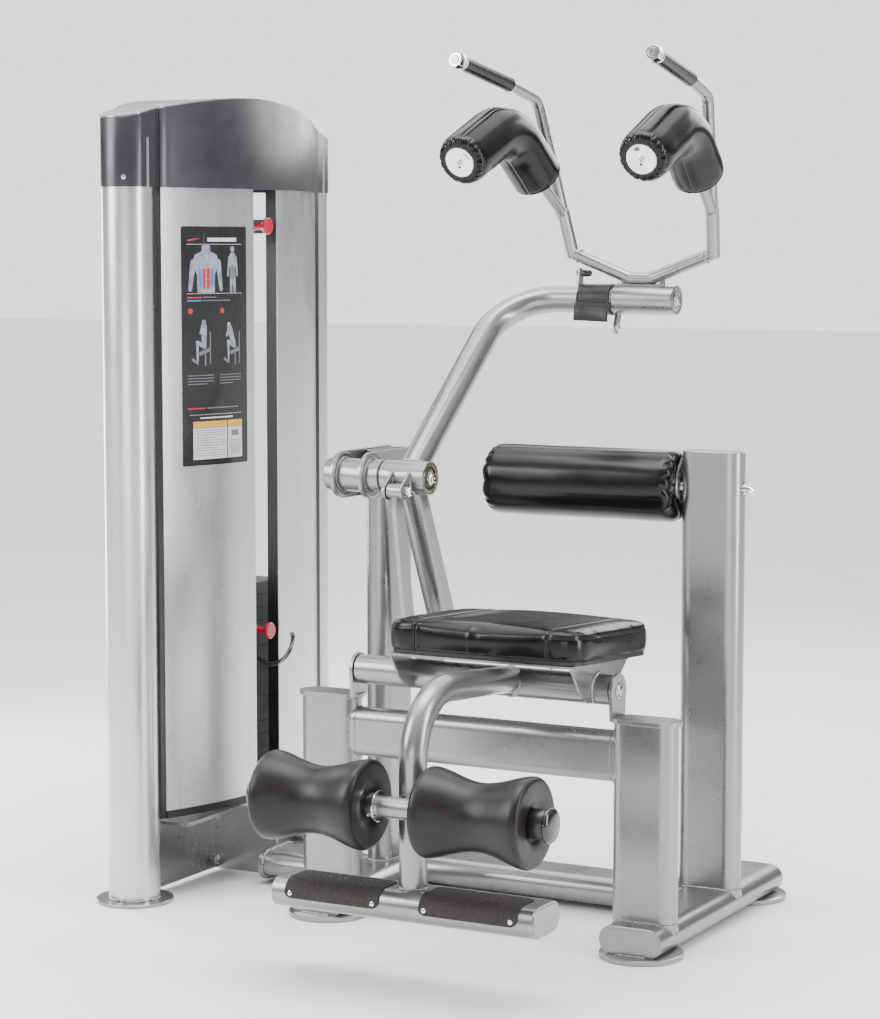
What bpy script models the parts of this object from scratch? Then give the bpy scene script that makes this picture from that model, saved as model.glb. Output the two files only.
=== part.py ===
"""Seated abdominal crunch machine with a selectorised weight tower.

Frame: X runs across the user, from the weight tower to the tall right post.
The user sits facing -Y.  Z is up and the floor is z = 0.  Everything is first
placed from the right short post (x = 0, y = 0); centre_on_floor() then moves
the machine so that the origin is the middle of its footprint.
"""
import math

import bmesh
import bpy
from mathutils import Matrix, Vector

# ---------------------------------------------------------------- dimensions
GAP = 0.0003                      # clearance left between touching pieces

OVAL_WIDE = 0.1415                # flat oval frame tube
OVAL_THIN = 0.0607
PLATE = 0.009                     # plate steel

USER_X = -0.305                   # middle of seat, rollers and shoulder pads
LEFT_X = -0.751                   # left short post and left base tube
BASE_Z = 0.0415                   # middle height of the base tubes
BASE_TOP = BASE_Z + OVAL_THIN / 2
BASE_FRONT = -0.076
BASE_REAR = 0.603
LEFT_BASE_REAR = 0.47
CROSS_Y = 0.334                   # rear cross tube and tall post region
TOWER_LINK_Y = 0.21
FOOT_RADIUS = 0.088

SHORT_POST_TOP = 0.484
BEAM_Z = 0.410
BEAM_TALL = 0.108
BEAM_THIN = 0.052
TALL_POST_Y = 0.346
TALL_POST_TOP = 1.0226
ARM_POST_X = -0.7605
ARM_POST_Y = 0.270
ARM_POST_TOP = 1.006

PIVOT_Y = 0.125                   # arm pivot
PIVOT_Z = 0.957
PIVOT_TUBE = 0.0372
HUB_LEFT = -0.687
HUB_RIGHT = -0.574
HUB_BORE = 0.0205
AXLE_RADIUS = 0.020
ARM_X = -0.630                    # arm tube, lever and link share this plane
ARM_RADIUS = 0.0308
ARM_CORNER_X = -0.656

YOKE_Y = 0.640                    # yoke swivel
YOKE_Z = 1.339
YOKE_LEFT = -0.368
YOKE_RIGHT = -0.217
YOKE_RADIUS = 0.034
YOKE_BORE = 0.0265
YOKE_STUD = 0.0260
WRAP_LEFT = -0.455
V_RADIUS = 0.0125
UPRIGHT_RADIUS = 0.0150
GRIP_RADIUS = 0.0162

LINK_TOP = (0.071, 0.931)         # (y, z) of the link's upper pivot
LINK_LOW = (0.142, 0.541)         # (y, z) of its lower pivot
LINK_THICK = 0.010

SEAT_PIVOT_Z = 0.547              # seat and leg assembly swings on y = 0
SEAT_TUBE = 0.032
SEAT_TUBE_LEFT = -0.678
SEAT_TUBE_RIGHT = -0.0745
SEAT_X = -0.318                   # middle of the seat cushion
SEAT_WIDTH = 0.462
SEAT_FRONT = -0.142
SEAT_REAR = 0.240
SEAT_CORNER = 0.050
BRACKET_LEFT = -0.538
BRACKET_RIGHT = -0.111
SEAT_THICK = 0.068
SEAT_FRONT_Z = 0.617
SEAT_TILT = math.radians(3.4)

LEG_RADIUS = 0.0285
LEG_Y = -0.440
ROLLER_Y = -0.497
ROLLER_Z = 0.368
ROLLER_OUT = 0.298                # outer roller end, from the user's middle
ROLLER_IN = 0.062
ROLLER_END = 0.090
ROLLER_WAIST = 0.0675
SHAFT_RADIUS = 0.0215
FOOT_BAR_Z = 0.168
FOOT_BAR_WIDE = 0.125
FOOT_BAR_THIN = 0.062
FOOT_BAR_HALF = 0.292

BACK_ROLLER_Z = 0.943
BACK_ROLLER_LEFT = -0.530
BACK_ROLLER_RIGHT = -0.076
BACK_ROLLER_RADIUS = 0.0805

TOWER_X = -1.198
TOWER_FRONT = -0.119
TOWER_REAR = 0.622
TOWER_Y = (TOWER_FRONT + TOWER_REAR) / 2
COLUMN_RADIUS = 0.057
COLUMN_TOP = 1.698
CAP_LOW = 1.590
CAP_CROWN = 1.7935
CAP_CROWN_Y = 0.205
LINK_FLANGE_X = -1.023            # left end of the tube from the tower to the base
PANEL_LOW = 0.200
PANEL_TOP = CAP_LOW - GAP
PANEL_EDGE_X = -1.139
PANEL_CROWN_X = -1.073
SLOT_HALF = 0.050
STACK_X = -1.198
STACK_DEEP = 0.140
STACK_WIDE = 0.300
PLATE_PITCH = 0.030
STACK_TOP = 0.677
LIFTED_PLATES = 4
RESTING_PLATES = 12
ROD_OFFSET = 0.100
ROD_RADIUS = 0.011
PULLEY_Z = 1.650
PULLEY_RADIUS = 0.046
PIN_Z = STACK_TOP - 3.5 * PLATE_PITCH
ADD_Z = 1.507

ROUND = 24                        # sides of a round tube


# ------------------------------------------------------------------ materials
def make_material(name, colour, roughness, metallic):
    material = bpy.data.materials.new(name)
    material.use_nodes = True
    shader = material.node_tree.nodes["Principled BSDF"]
    shader.inputs["Base Color"].default_value = (*colour, 1.0)
    shader.inputs["Roughness"].default_value = roughness
    shader.inputs["Metallic"].default_value = metallic
    material.diffuse_color = (*colour, 1.0)
    return material


def make_materials():
    table = {
        "frame_paint": ((0.60, 0.61, 0.60), 0.34, 0.7),
        "cap_paint": ((0.13, 0.13, 0.14), 0.42, 0.5),
        "panel_paint": ((0.70, 0.72, 0.74), 0.40, 0.6),
        "vinyl": ((0.018, 0.015, 0.015), 0.28, 0.0),
        "foam": ((0.030, 0.026, 0.024), 0.62, 0.0),
        "leather": ((0.025, 0.020, 0.020), 0.45, 0.0),
        "grit": ((0.020, 0.018, 0.017), 0.85, 0.0),
        "rubber": ((0.015, 0.015, 0.015), 0.60, 0.0),
        "chrome": ((0.80, 0.80, 0.81), 0.12, 1.0),
        "steel": ((0.55, 0.56, 0.57), 0.30, 1.0),
        "stack_paint": ((0.085, 0.080, 0.085), 0.55, 0.3),
        "red_plastic": ((0.55, 0.01, 0.05), 0.28, 0.0),
    }
    return {name: make_material(name, *values) for name, values in table.items()}


# -------------------------------------------------------------- mesh building
def finish_object(name, mesh_data, material):
    """Close, orient and shade a mesh, and put it in the scene."""
    bm = bmesh.new()
    bm.from_mesh(mesh_data)
    bmesh.ops.recalc_face_normals(bm, faces=bm.faces)
    bm.to_mesh(mesh_data)
    bm.free()
    mesh_data.shade_smooth()
    mesh_data.set_sharp_from_angle(angle=math.radians(38))
    mesh_data.materials.clear()
    mesh_data.materials.append(MATERIALS[material])
    obj = bpy.data.objects.new(name, mesh_data)
    bpy.context.collection.objects.link(obj)
    return obj


def from_rings(name, rings, material, closed=False):
    """Skin equal rings of points; the ends are capped unless closed."""
    count = len(rings[0])
    points = [point for ring in rings for point in ring]
    faces = []
    spans = len(rings) if closed else len(rings) - 1
    for ring in range(spans):
        here = ring * count
        there = ((ring + 1) % len(rings)) * count
        for side in range(count):
            nxt = (side + 1) % count
            faces.append((here + side, here + nxt, there + nxt, there + side))
    if not closed:
        faces.append(tuple(reversed(range(count))))
        faces.append(tuple(range(len(points) - count, len(points))))
    mesh_data = bpy.data.meshes.new(name)
    mesh_data.from_pydata([tuple(point) for point in points], [], faces)
    return finish_object(name, mesh_data, material)


def circle(radius, sides=ROUND):
    return [(radius * math.cos(2 * math.pi * i / sides), radius * math.sin(2 * math.pi * i / sides))
            for i in range(sides)]


def oval(wide, thin, arc=8):
    """Flat oval outline: two half circles joined by straight sides."""
    reach = (wide - thin) / 2
    points = []
    for end in (1, -1):
        start = -math.pi / 2 if end > 0 else math.pi / 2
        for i in range(arc + 1):
            angle = start + math.pi * i / arc
            points.append((end * reach + thin / 2 * math.cos(angle), thin / 2 * math.sin(angle)))
    return points


def rounded_box(wide, tall, corner, arc=3):
    """Rectangle outline with rounded corners."""
    points = []
    for index, (sx, sy) in enumerate(((1, 1), (-1, 1), (-1, -1), (1, -1))):
        centre = Vector((sx * (wide / 2 - corner), sy * (tall / 2 - corner)))
        for i in range(arc + 1):
            angle = math.pi / 2 * (index + i / arc)
            points.append((centre.x + corner * math.cos(angle), centre.y + corner * math.sin(angle)))
    return points


def prism(name, outline, axis, low, high, material):
    """Extrude an outline along a world axis; outline pairs follow the other two axes."""
    def place(pair, along):
        if axis == "X":
            return Vector((along, pair[0], pair[1]))
        if axis == "Y":
            return Vector((pair[0], along, pair[1]))
        return Vector((pair[0], pair[1], along))
    rings = [[place(pair, along) for pair in outline] for along in (low, high)]
    return from_rings(name, rings, material)


def shifted(outline, dx, dy):
    return [(x + dx, y + dy) for x, y in outline]


def box(name, low, high, material):
    outline = [(low[0], low[1]), (high[0], low[1]), (high[0], high[1]), (low[0], high[1])]
    return prism(name, outline, "Z", low[2], high[2], material)


def bent_path(corners, radius, steps=6):
    """Polyline through the corners with each inner corner turned into an arc."""
    corners = [Vector(corner) for corner in corners]
    path = [corners[0]]
    for before, corner, after in zip(corners, corners[1:], corners[2:]):
        to_before = (before - corner).normalized()
        to_after = (after - corner).normalized()
        half = to_before.angle(to_after) / 2
        cut = radius / math.tan(half)
        centre = corner + (to_before + to_after).normalized() * (radius / math.sin(half))
        start = corner + to_before * cut - centre
        turn = math.pi - 2 * half
        axis = start.cross(corner + to_after * cut - centre).normalized()
        for i in range(steps + 1):
            path.append(centre + Matrix.Rotation(turn * i / steps, 3, axis) @ start)
    path.append(corners[-1])
    return path


def sweep(name, path, section, material, side=(1, 0, 0)):
    """Carry a section along a path; section x starts out along the side vector."""
    path = [Vector(point) for point in path]
    tangents = []
    for index in range(len(path)):
        ahead = path[min(index + 1, len(path) - 1)]
        behind = path[max(index - 1, 0)]
        tangents.append((ahead - behind).normalized())
    across = Vector(side)
    rings = []
    for point, tangent in zip(path, tangents):
        across = (across - tangent * across.dot(tangent)).normalized()
        upward = tangent.cross(across)
        rings.append([point + across * u + upward * v for u, v in section])
    return from_rings(name, rings, material)


def rod(name, start, end, radius, material, sides=ROUND):
    start = Vector(start)
    end = Vector(end)
    side = (end - start).orthogonal()
    return sweep(name, [start, end], circle(radius, sides), material, side)


def turned(name, centre, profile, material, sides=ROUND, closed=False):
    """Turn (x, radius) pairs about the X direction through the centre's y and z."""
    rings = []
    for x, radius in profile:
        rings.append([Vector((x, centre[0] + radius * math.cos(2 * math.pi * i / sides),
                              centre[1] + radius * math.sin(2 * math.pi * i / sides)))
                      for i in range(sides)])
    return from_rings(name, rings, material, closed)


def boolean(target, tool, operation):
    """Apply one exact Boolean and remove the tool."""
    modifier = target.modifiers.new("boolean", "BOOLEAN")
    modifier.operation = operation
    modifier.solver = "EXACT"
    modifier.object = tool
    bpy.context.view_layer.update()
    graph = bpy.context.evaluated_depsgraph_get()
    result = bpy.data.meshes.new_from_object(target.evaluated_get(graph))
    target.modifiers.clear()
    target.data = result
    target.data.set_sharp_from_angle(angle=math.radians(38))
    bpy.data.objects.remove(tool)
    return target


def fuse(name, pieces):
    """Weld pieces into one body."""
    whole = pieces[0]
    for piece in pieces[1:]:
        boolean(whole, piece, "UNION")
    whole.name = name
    return whole


def cut(target, tool):
    return boolean(target, tool, "DIFFERENCE")


# ------------------------------------------------------------------ structure
def make_base():
    floor_section = shifted(oval(OVAL_WIDE, OVAL_THIN), 0, BASE_Z)
    for name, x, rear in (("right_base_tube", 0.0, BASE_REAR), ("left_base_tube", LEFT_X, LEFT_BASE_REAR)):
        tube = prism("tube", shifted(floor_section, x, 0), "Y", BASE_FRONT, rear, "frame_paint")
        feet = [prism("foot", shifted(circle(FOOT_RADIUS, 28), x, y), "Z", 0, BASE_Z - OVAL_THIN / 2 + 0.001,
                      "frame_paint") for y in (BASE_FRONT + 0.058, rear - 0.040)]
        fuse(name, [tube] + feet)
    half = OVAL_WIDE / 2
    for name, y, low, high in (
            ("rear_cross_tube", CROSS_Y, LEFT_X + half + GAP, -half - GAP),
            ("tower_link_tube", TOWER_LINK_Y, LINK_FLANGE_X, LEFT_X - half - GAP)):
        prism(name, shifted(floor_section, y, 0.0015), "X", low, high, "frame_paint")


def make_posts():
    wide_x = oval(OVAL_WIDE, OVAL_THIN)
    for name, x in (("right_short_post", 0.0), ("left_short_post", LEFT_X)):
        prism(name, shifted(wide_x, x, 0), "Z", BASE_TOP + GAP, SHORT_POST_TOP, "frame_paint")
    prism("tall_post", shifted(wide_x, 0, TALL_POST_Y), "Z", BASE_TOP + GAP, TALL_POST_TOP, "frame_paint")
    wide_y = [(y, x) for x, y in oval(OVAL_WIDE, OVAL_THIN)]
    prism("arm_post", shifted(wide_y, ARM_POST_X, ARM_POST_Y), "Z", BASE_TOP + GAP, ARM_POST_TOP,
          "frame_paint")
    beam = [(y, z + BEAM_Z) for z, y in oval(BEAM_TALL, BEAM_THIN)]
    prism("cross_beam", beam, "X", LEFT_X + OVAL_WIDE / 2 + GAP, -OVAL_WIDE / 2 - GAP, "frame_paint")


def make_pivot_brackets():
    """L plates on the short posts, with an ear and a pin for the seat pivot."""
    for side, post_x, ear_x in ((1, 0.0, -0.0665), (-1, LEFT_X, LEFT_X + 0.0665)):
        deck = prism("deck", shifted(oval(OVAL_WIDE + 0.014, OVAL_THIN + 0.014), post_x, 0), "Z",
                     SHORT_POST_TOP + GAP, SHORT_POST_TOP + GAP + PLATE, "frame_paint")
        ear_outline = [(-0.030, SHORT_POST_TOP + 0.002), (0.030, SHORT_POST_TOP + 0.002)]
        ear_outline += [(0.036 * math.cos(a), SEAT_PIVOT_Z + 0.036 * math.sin(a))
                        for a in (math.radians(-20 + 22 * i) for i in range(11))]
        ear = prism("ear", ear_outline, "X", ear_x - 0.004, ear_x + 0.004, "frame_paint")
        pin = turned("pin", (0, SEAT_PIVOT_Z),
                     [(ear_x - side * 0.030, 0.012), (ear_x + side * 0.0065, 0.012),
                      (ear_x + side * 0.008, 0.0105)], "steel", 16)
        fuse("right_pivot_bracket" if side > 0 else "left_pivot_bracket", [deck, ear, pin])


def make_pivot_housing():
    """Two side plates clasp the arm post and carry the pivot barrel in front of it."""
    ring = 0.0525
    outline = [(ARM_POST_Y + 0.066, PIVOT_Z + ring), (ARM_POST_Y + 0.066, PIVOT_Z - ring + 0.012)]
    outline += [(ARM_POST_Y + 0.050, PIVOT_Z - ring)]
    outline += [(PIVOT_Y + ring * math.cos(a), PIVOT_Z + ring * math.sin(a))
                for a in (math.radians(270 - 15 * i) for i in range(13))]
    half = OVAL_THIN / 2 + GAP
    plates = []
    for low in (ARM_POST_X - half - PLATE, ARM_POST_X + half):
        plates.append(prism("plate", outline, "X", low, low + PLATE, "frame_paint"))
    barrel = turned("barrel", (PIVOT_Y, PIVOT_Z),
                    [(-0.828, PIVOT_TUBE - 0.003), (-0.825, PIVOT_TUBE), (HUB_LEFT - 0.002, PIVOT_TUBE)],
                    "frame_paint", ROUND)
    fuse("pivot_housing", plates + [barrel])
    turned("pivot_axle", (PIVOT_Y, PIVOT_Z),
           [(HUB_LEFT - 0.002 + GAP, AXLE_RADIUS), (HUB_RIGHT - 0.006, AXLE_RADIUS),
            (HUB_RIGHT - 0.006, 0.0155), (HUB_RIGHT + 0.001, 0.0155), (HUB_RIGHT + 0.001, 0.0085),
            (HUB_RIGHT + 0.007, 0.0085), (HUB_RIGHT + 0.008, 0.0070)], "steel", 20)


def make_back_roller():
    centre = (TALL_POST_Y, BACK_ROLLER_Z)
    bore = 0.0135
    edge = 0.014
    profile = [(BACK_ROLLER_LEFT, bore), (BACK_ROLLER_LEFT, BACK_ROLLER_RADIUS - edge * 1.6),
               (BACK_ROLLER_LEFT + edge * 0.5, BACK_ROLLER_RADIUS - edge * 0.45),
               (BACK_ROLLER_LEFT + edge * 1.6, BACK_ROLLER_RADIUS),
               (BACK_ROLLER_RIGHT - edge * 1.6, BACK_ROLLER_RADIUS),
               (BACK_ROLLER_RIGHT - edge * 0.5, BACK_ROLLER_RADIUS - edge * 0.45),
               (BACK_ROLLER_RIGHT, BACK_ROLLER_RADIUS - edge * 1.6), (BACK_ROLLER_RIGHT, bore)]
    turned("back_roller", centre, profile, "vinyl", 32, closed=True)
    axle = turned("back_roller_axle", centre,
                  [(BACK_ROLLER_LEFT - 0.009, 0.020), (BACK_ROLLER_LEFT - 0.001, 0.020),
                   (BACK_ROLLER_LEFT - 0.001, bore - 0.0005), (OVAL_WIDE / 2 + 0.001, bore - 0.0005),
                   (OVAL_WIDE / 2 + 0.001, 0.015), (OVAL_WIDE / 2 + 0.005, 0.015),
                   (OVAL_WIDE / 2 + 0.005, 0.0115), (OVAL_WIDE / 2 + 0.014, 0.0115),
                   (OVAL_WIDE / 2 + 0.018, 0.0080), (OVAL_WIDE / 2 + 0.022, 0.0030)], "chrome", 16)
    bore_tool = rod("bore", (-0.2, *centre), (0.2, *centre), bore, "steel", 16)
    cut(bpy.data.objects["tall_post"], bore_tool)
    return axle


# -------------------------------------------------------------------- arm body
def make_arm():
    hub = turned("arm_hub", (PIVOT_Y, PIVOT_Z),
                 [(HUB_LEFT, HUB_BORE), (HUB_LEFT, PIVOT_TUBE - 0.001), (HUB_LEFT + 0.001, PIVOT_TUBE),
                  (HUB_RIGHT - 0.001, PIVOT_TUBE), (HUB_RIGHT, PIVOT_TUBE - 0.001), (HUB_RIGHT, 0.0315),
                  (HUB_RIGHT - 0.003, 0.0315), (HUB_RIGHT - 0.003, HUB_BORE)], "frame_paint", ROUND, True)
    ears = []
    for low, high in ((ARM_X - 0.024, ARM_X - 0.018), (ARM_X + 0.018, ARM_X + 0.024)):
        outline = [(LINK_TOP[0] + 0.021 * math.cos(a), LINK_TOP[1] + 0.021 * math.sin(a))
                   for a in (math.radians(150 + 20 * i) for i in range(9))]
        outline += [(PIVOT_Y - 0.010, PIVOT_Z - 0.034), (PIVOT_Y - 0.030, PIVOT_Z + 0.020)]
        ears.append(prism("clevis_ear", outline, "X", low, high, "frame_paint"))
    pin = turned("clevis_pin", LINK_TOP,
                 [(ARM_X - 0.031, 0.011), (ARM_X - 0.0235, 0.011), (ARM_X - 0.0235, 0.0075),
                  (ARM_X + 0.0235, 0.0075), (ARM_X + 0.0235, 0.0115), (ARM_X + 0.032, 0.0115)],
                 "chrome", 16)
    clevis = fuse("clevis", ears + [pin])
    cut(clevis, rod("inside", (HUB_LEFT - 0.01, PIVOT_Y, PIVOT_Z), (HUB_RIGHT + 0.01, PIVOT_Y, PIVOT_Z),
                    PIVOT_TUBE - 0.004, "steel", ROUND))
    hub = fuse("arm_hub", [hub, clevis])

    corner = (ARM_CORNER_X, YOKE_Y, YOKE_Z)
    path = bent_path([(ARM_X, PIVOT_Y, PIVOT_Z), corner, (YOKE_LEFT - 0.0015, YOKE_Y, YOKE_Z)], 0.135, 8)
    tube = sweep("arm_tube", path, circle(ARM_RADIUS, ROUND), "frame_paint")
    hub_space = rod("hub_space", (HUB_LEFT - 0.01, PIVOT_Y, PIVOT_Z), (HUB_RIGHT + 0.01, PIVOT_Y, PIVOT_Z),
                    PIVOT_TUBE + GAP, "steel", ROUND)
    cut(tube, hub_space)
    stud = turned("stud", (YOKE_Y, YOKE_Z),
                  [(YOKE_LEFT - 0.02, YOKE_STUD), (YOKE_RIGHT - 0.004, YOKE_STUD),
                   (YOKE_RIGHT - 0.004, 0.0115), (YOKE_RIGHT + 0.006, 0.0115), (YOKE_RIGHT + 0.008, 0.009)],
                  "steel", 24)
    tab = prism("tab", [(YOKE_Y - 0.012, YOKE_Z + 0.026), (YOKE_Y + 0.014, YOKE_Z + 0.026),
                        (YOKE_Y + 0.012, YOKE_Z + 0.066), (YOKE_Y - 0.004, YOKE_Z + 0.074)],
                "X", WRAP_LEFT - 0.011, WRAP_LEFT - 0.003, "frame_paint")
    knob = rod("knob", (WRAP_LEFT - 0.008, YOKE_Y, YOKE_Z + 0.060), (WRAP_LEFT + 0.020, YOKE_Y, YOKE_Z + 0.060),
               0.007, "rubber", 12)
    tube = fuse("arm_tube", [tube, stud, tab, knob])

    lever_axis = Vector((0, 0.418, -0.908)).normalized()
    start = Vector((ARM_X, PIVOT_Y + 0.004, PIVOT_Z)) + lever_axis * 0.010
    end = start + lever_axis * 0.400
    lever = sweep("arm_lever", [start, end], oval(0.075, 0.050), "frame_paint", (0, 1, 0))
    lever_space = rod("lever_space", (HUB_LEFT - 0.01, PIVOT_Y, PIVOT_Z),
                      (HUB_RIGHT + 0.01, PIVOT_Y, PIVOT_Z), PIVOT_TUBE + GAP, "steel", ROUND)
    tube_space = rod("tube_space", (ARM_X, PIVOT_Y, PIVOT_Z), corner, ARM_RADIUS + GAP, "steel", ROUND)
    above = box("above", (ARM_X - 0.1, PIVOT_Y - 0.1, PIVOT_Z), (ARM_X + 0.1, PIVOT_Y + 0.1, PIVOT_Z + 0.1),
                "steel")
    cut(lever, fuse("lever_cut", [lever_space, above]))
    cut(lever, tube_space)

    outer = ARM_RADIUS + 0.0052
    sleeve = turned("sleeve", (YOKE_Y, YOKE_Z),
                    [(WRAP_LEFT, ARM_RADIUS + GAP), (WRAP_LEFT, outer), (YOKE_LEFT - 0.006, outer),
                     (YOKE_LEFT - 0.006, ARM_RADIUS + GAP)], "leather", ROUND, True)
    flap = prism("flap", [(YOKE_Y - 0.037, YOKE_Z - 0.012), (YOKE_Y - 0.030, YOKE_Z - 0.012),
                          (YOKE_Y - 0.036, YOKE_Z - 0.050), (YOKE_Y - 0.044, YOKE_Z - 0.050)],
                 "X", WRAP_LEFT, YOKE_LEFT - 0.006, "leather")
    wrap = fuse("bumper_wrap", [sleeve, flap])
    return [hub, tube, lever, wrap]


def make_link():
    """Flat bar from the arm's clevis to the seat lever; its lower eye is oversize."""
    barrel = turned("barrel", LINK_TOP,
                    [(ARM_X - 0.0165, 0.0085), (ARM_X - 0.0165, 0.0165), (ARM_X + 0.0165, 0.0165),
                     (ARM_X + 0.0165, 0.0085)], "frame_paint", 20, True)
    top = Vector((0, *LINK_TOP))
    low = Vector((0, *LINK_LOW))
    along = (low - top).normalized()
    across = Vector((0, -along.z, along.y))
    half = 0.018
    eye = [low + (across * math.cos(a) + along * math.sin(a)) * (half + 0.004)
           for a in (math.radians(15 * i) for i in range(13))]
    bar_points = [top + along * 0.0125 + across * -half * 0.6, top + along * 0.0125 + across * half * 0.6,
                  top + along * 0.040 + across * half] + eye + [top + along * 0.040 - across * half]
    bar = prism("bar", [(p.y, p.z) for p in bar_points], "X", ARM_X - LINK_THICK / 2, ARM_X + LINK_THICK / 2,
                "frame_paint")
    hole = rod("hole", (ARM_X - 0.05, *LINK_LOW), (ARM_X + 0.05, *LINK_LOW), 0.0125, "steel", 16)
    cut(bar, hole)
    return [fuse("link_bar", [bar, barrel])]


# ------------------------------------------------------------------- yoke body
def yoke_points(side):
    """Handle and pad guide points on one side of the yoke, as world vectors."""
    def at(offset, y, z):
        return Vector((USER_X + side * offset, y, z))
    return {
        "v_end": at(0.1700, 0.643, 1.443), "knee": at(0.1760, 0.640, 1.448), "branch": at(0.1850, 0.611, 1.533),
        "bend": at(0.2085, 0.521, 1.792), "grip_start": at(0.2175, 0.419, 1.8165),
        "grip_end": at(0.2320, 0.178, 1.8600), "disc": at(0.2145, 0.158, 1.6420),
        "pad_bend": at(0.2090, 0.364, 1.7310), "pad_low": at(0.1965, 0.515, 1.6060),
    }


def make_yoke():
    hub = turned("yoke_hub", (YOKE_Y, YOKE_Z),
                 [(YOKE_LEFT, YOKE_BORE), (YOKE_LEFT, YOKE_RADIUS - 0.001), (YOKE_LEFT + 0.001, YOKE_RADIUS),
                  (YOKE_RIGHT - 0.001, YOKE_RADIUS), (YOKE_RIGHT, YOKE_RADIUS - 0.001), (YOKE_RIGHT, YOKE_BORE)],
                 "frame_paint", ROUND, True)
    fin = prism("fin", [(YOKE_Y + 0.012, YOKE_Z - 0.031), (YOKE_Y - 0.012, YOKE_Z - 0.031),
                        (YOKE_Y - 0.026, YOKE_Z - 0.074), (YOKE_Y - 0.014, YOKE_Z - 0.080)],
                "X", YOKE_LEFT + 0.002, YOKE_LEFT + 0.009, "frame_paint")
    hub = fuse("yoke_hub", [hub, fin])

    centre_z = YOKE_Z + YOKE_RADIUS + V_RADIUS + GAP
    right = yoke_points(1)
    left = yoke_points(-1)
    middle = [Vector((USER_X + s * 0.026, YOKE_Y, centre_z)) for s in (-1, 1)]
    pieces = [sweep("v_bar", bent_path([left["v_end"], middle[0], middle[1], right["v_end"]], 0.020, 3),
                    circle(V_RADIUS, 12), "frame_paint", (0, 1, 0))]
    for mark in (left, right):
        upright = [mark["knee"] + (mark["knee"] - mark["branch"]).normalized() * 0.012, mark["branch"]]
        pieces.append(sweep("upright", upright, circle(UPRIGHT_RADIUS, 12), "frame_paint"))
        handle = bent_path([mark["branch"] - (mark["bend"] - mark["branch"]).normalized() * 0.02,
                            mark["bend"], mark["grip_start"], mark["grip_end"]], 0.040, 4)
        pieces.append(sweep("handle", handle, circle(0.0115, 12), "frame_paint"))
        stub_dir = (mark["pad_low"] - mark["branch"]).normalized()
        pieces.append(sweep("pad_stub", [mark["branch"] - stub_dir * 0.010, mark["pad_low"] - stub_dir * 0.0012],
                            circle(0.0125, 12), "frame_paint"))
    frame = fuse("yoke_frame", pieces)

    bodies = [hub, frame]
    for side, label in ((-1, "left"), (1, "right")):
        bodies += make_pad(label, yoke_points(side))
        bodies += make_grip(label, yoke_points(side))
    return bodies


def make_pad(label, mark):
    """Bent shoulder roll with a metal disc over its gathered front end."""
    path = bent_path([mark["disc"], mark["pad_bend"], mark["pad_low"]], 0.130, 8)
    radius = 0.060
    ahead = (path[1] - path[0]).normalized()
    back = (path[-2] - path[-1]).normalized()
    stations = [(path[0], 0.76), (path[0] + ahead * 0.006, 0.87), (path[0] + ahead * 0.018, 0.96)]
    stations += [(path[0] + ahead * 0.040, 1.0)] + [(point, 1.0) for point in path[1:-1]]
    stations += [(path[-1] + back * 0.022, 0.99), (path[-1] + back * 0.007, 0.92), (path[-1], 0.82)]
    across = Vector((1, 0, 0))
    rings = []
    for index, (point, share) in enumerate(stations):
        after = stations[min(index + 1, len(stations) - 1)][0]
        before = stations[max(index - 1, 0)][0]
        tangent = (after - before).normalized()
        across = (across - tangent * across.dot(tangent)).normalized()
        upward = tangent.cross(across)
        rings.append([point + across * u + upward * v for u, v in circle(radius * share, 20)])
    pad = from_rings(label + "_shoulder_pad", rings, "vinyl")
    outward = (path[0] - path[1]).normalized()
    disc = sweep(label + "_pad_disc", [path[0] + outward * GAP, path[0] + outward * 0.006],
                 circle(0.034, ROUND), "chrome")
    return [pad, disc]


def make_grip(label, mark):
    along = (mark["grip_end"] - mark["grip_start"]).normalized()
    start = mark["grip_start"] + along * 0.018
    end = mark["grip_end"] - along * 0.016
    grip = sweep(label + "_grip", [start, end], circle(GRIP_RADIUS, 20), "rubber")
    bore = sweep("bore", [start - along * 0.01, end + along * 0.01], circle(0.0115 + GAP, 16), "steel")
    cut(grip, bore)
    cap = from_rings(label + "_grip_cap",
                     [cap_ring(end + along * step, along, size)
                      for step, size in ((GAP, 0.0175), (0.012, 0.0190), (0.026, 0.0165))], "chrome")
    space = sweep("space", [mark["grip_start"], mark["grip_end"] + along * GAP], circle(0.0115 + GAP, 16),
                  "steel")
    cut(cap, space)
    return [grip, cap]


def cap_ring(point, along, radius):
    across = along.orthogonal().normalized()
    upward = along.cross(across)
    return [point + across * u + upward * v for u, v in circle(radius, 8)]


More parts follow.
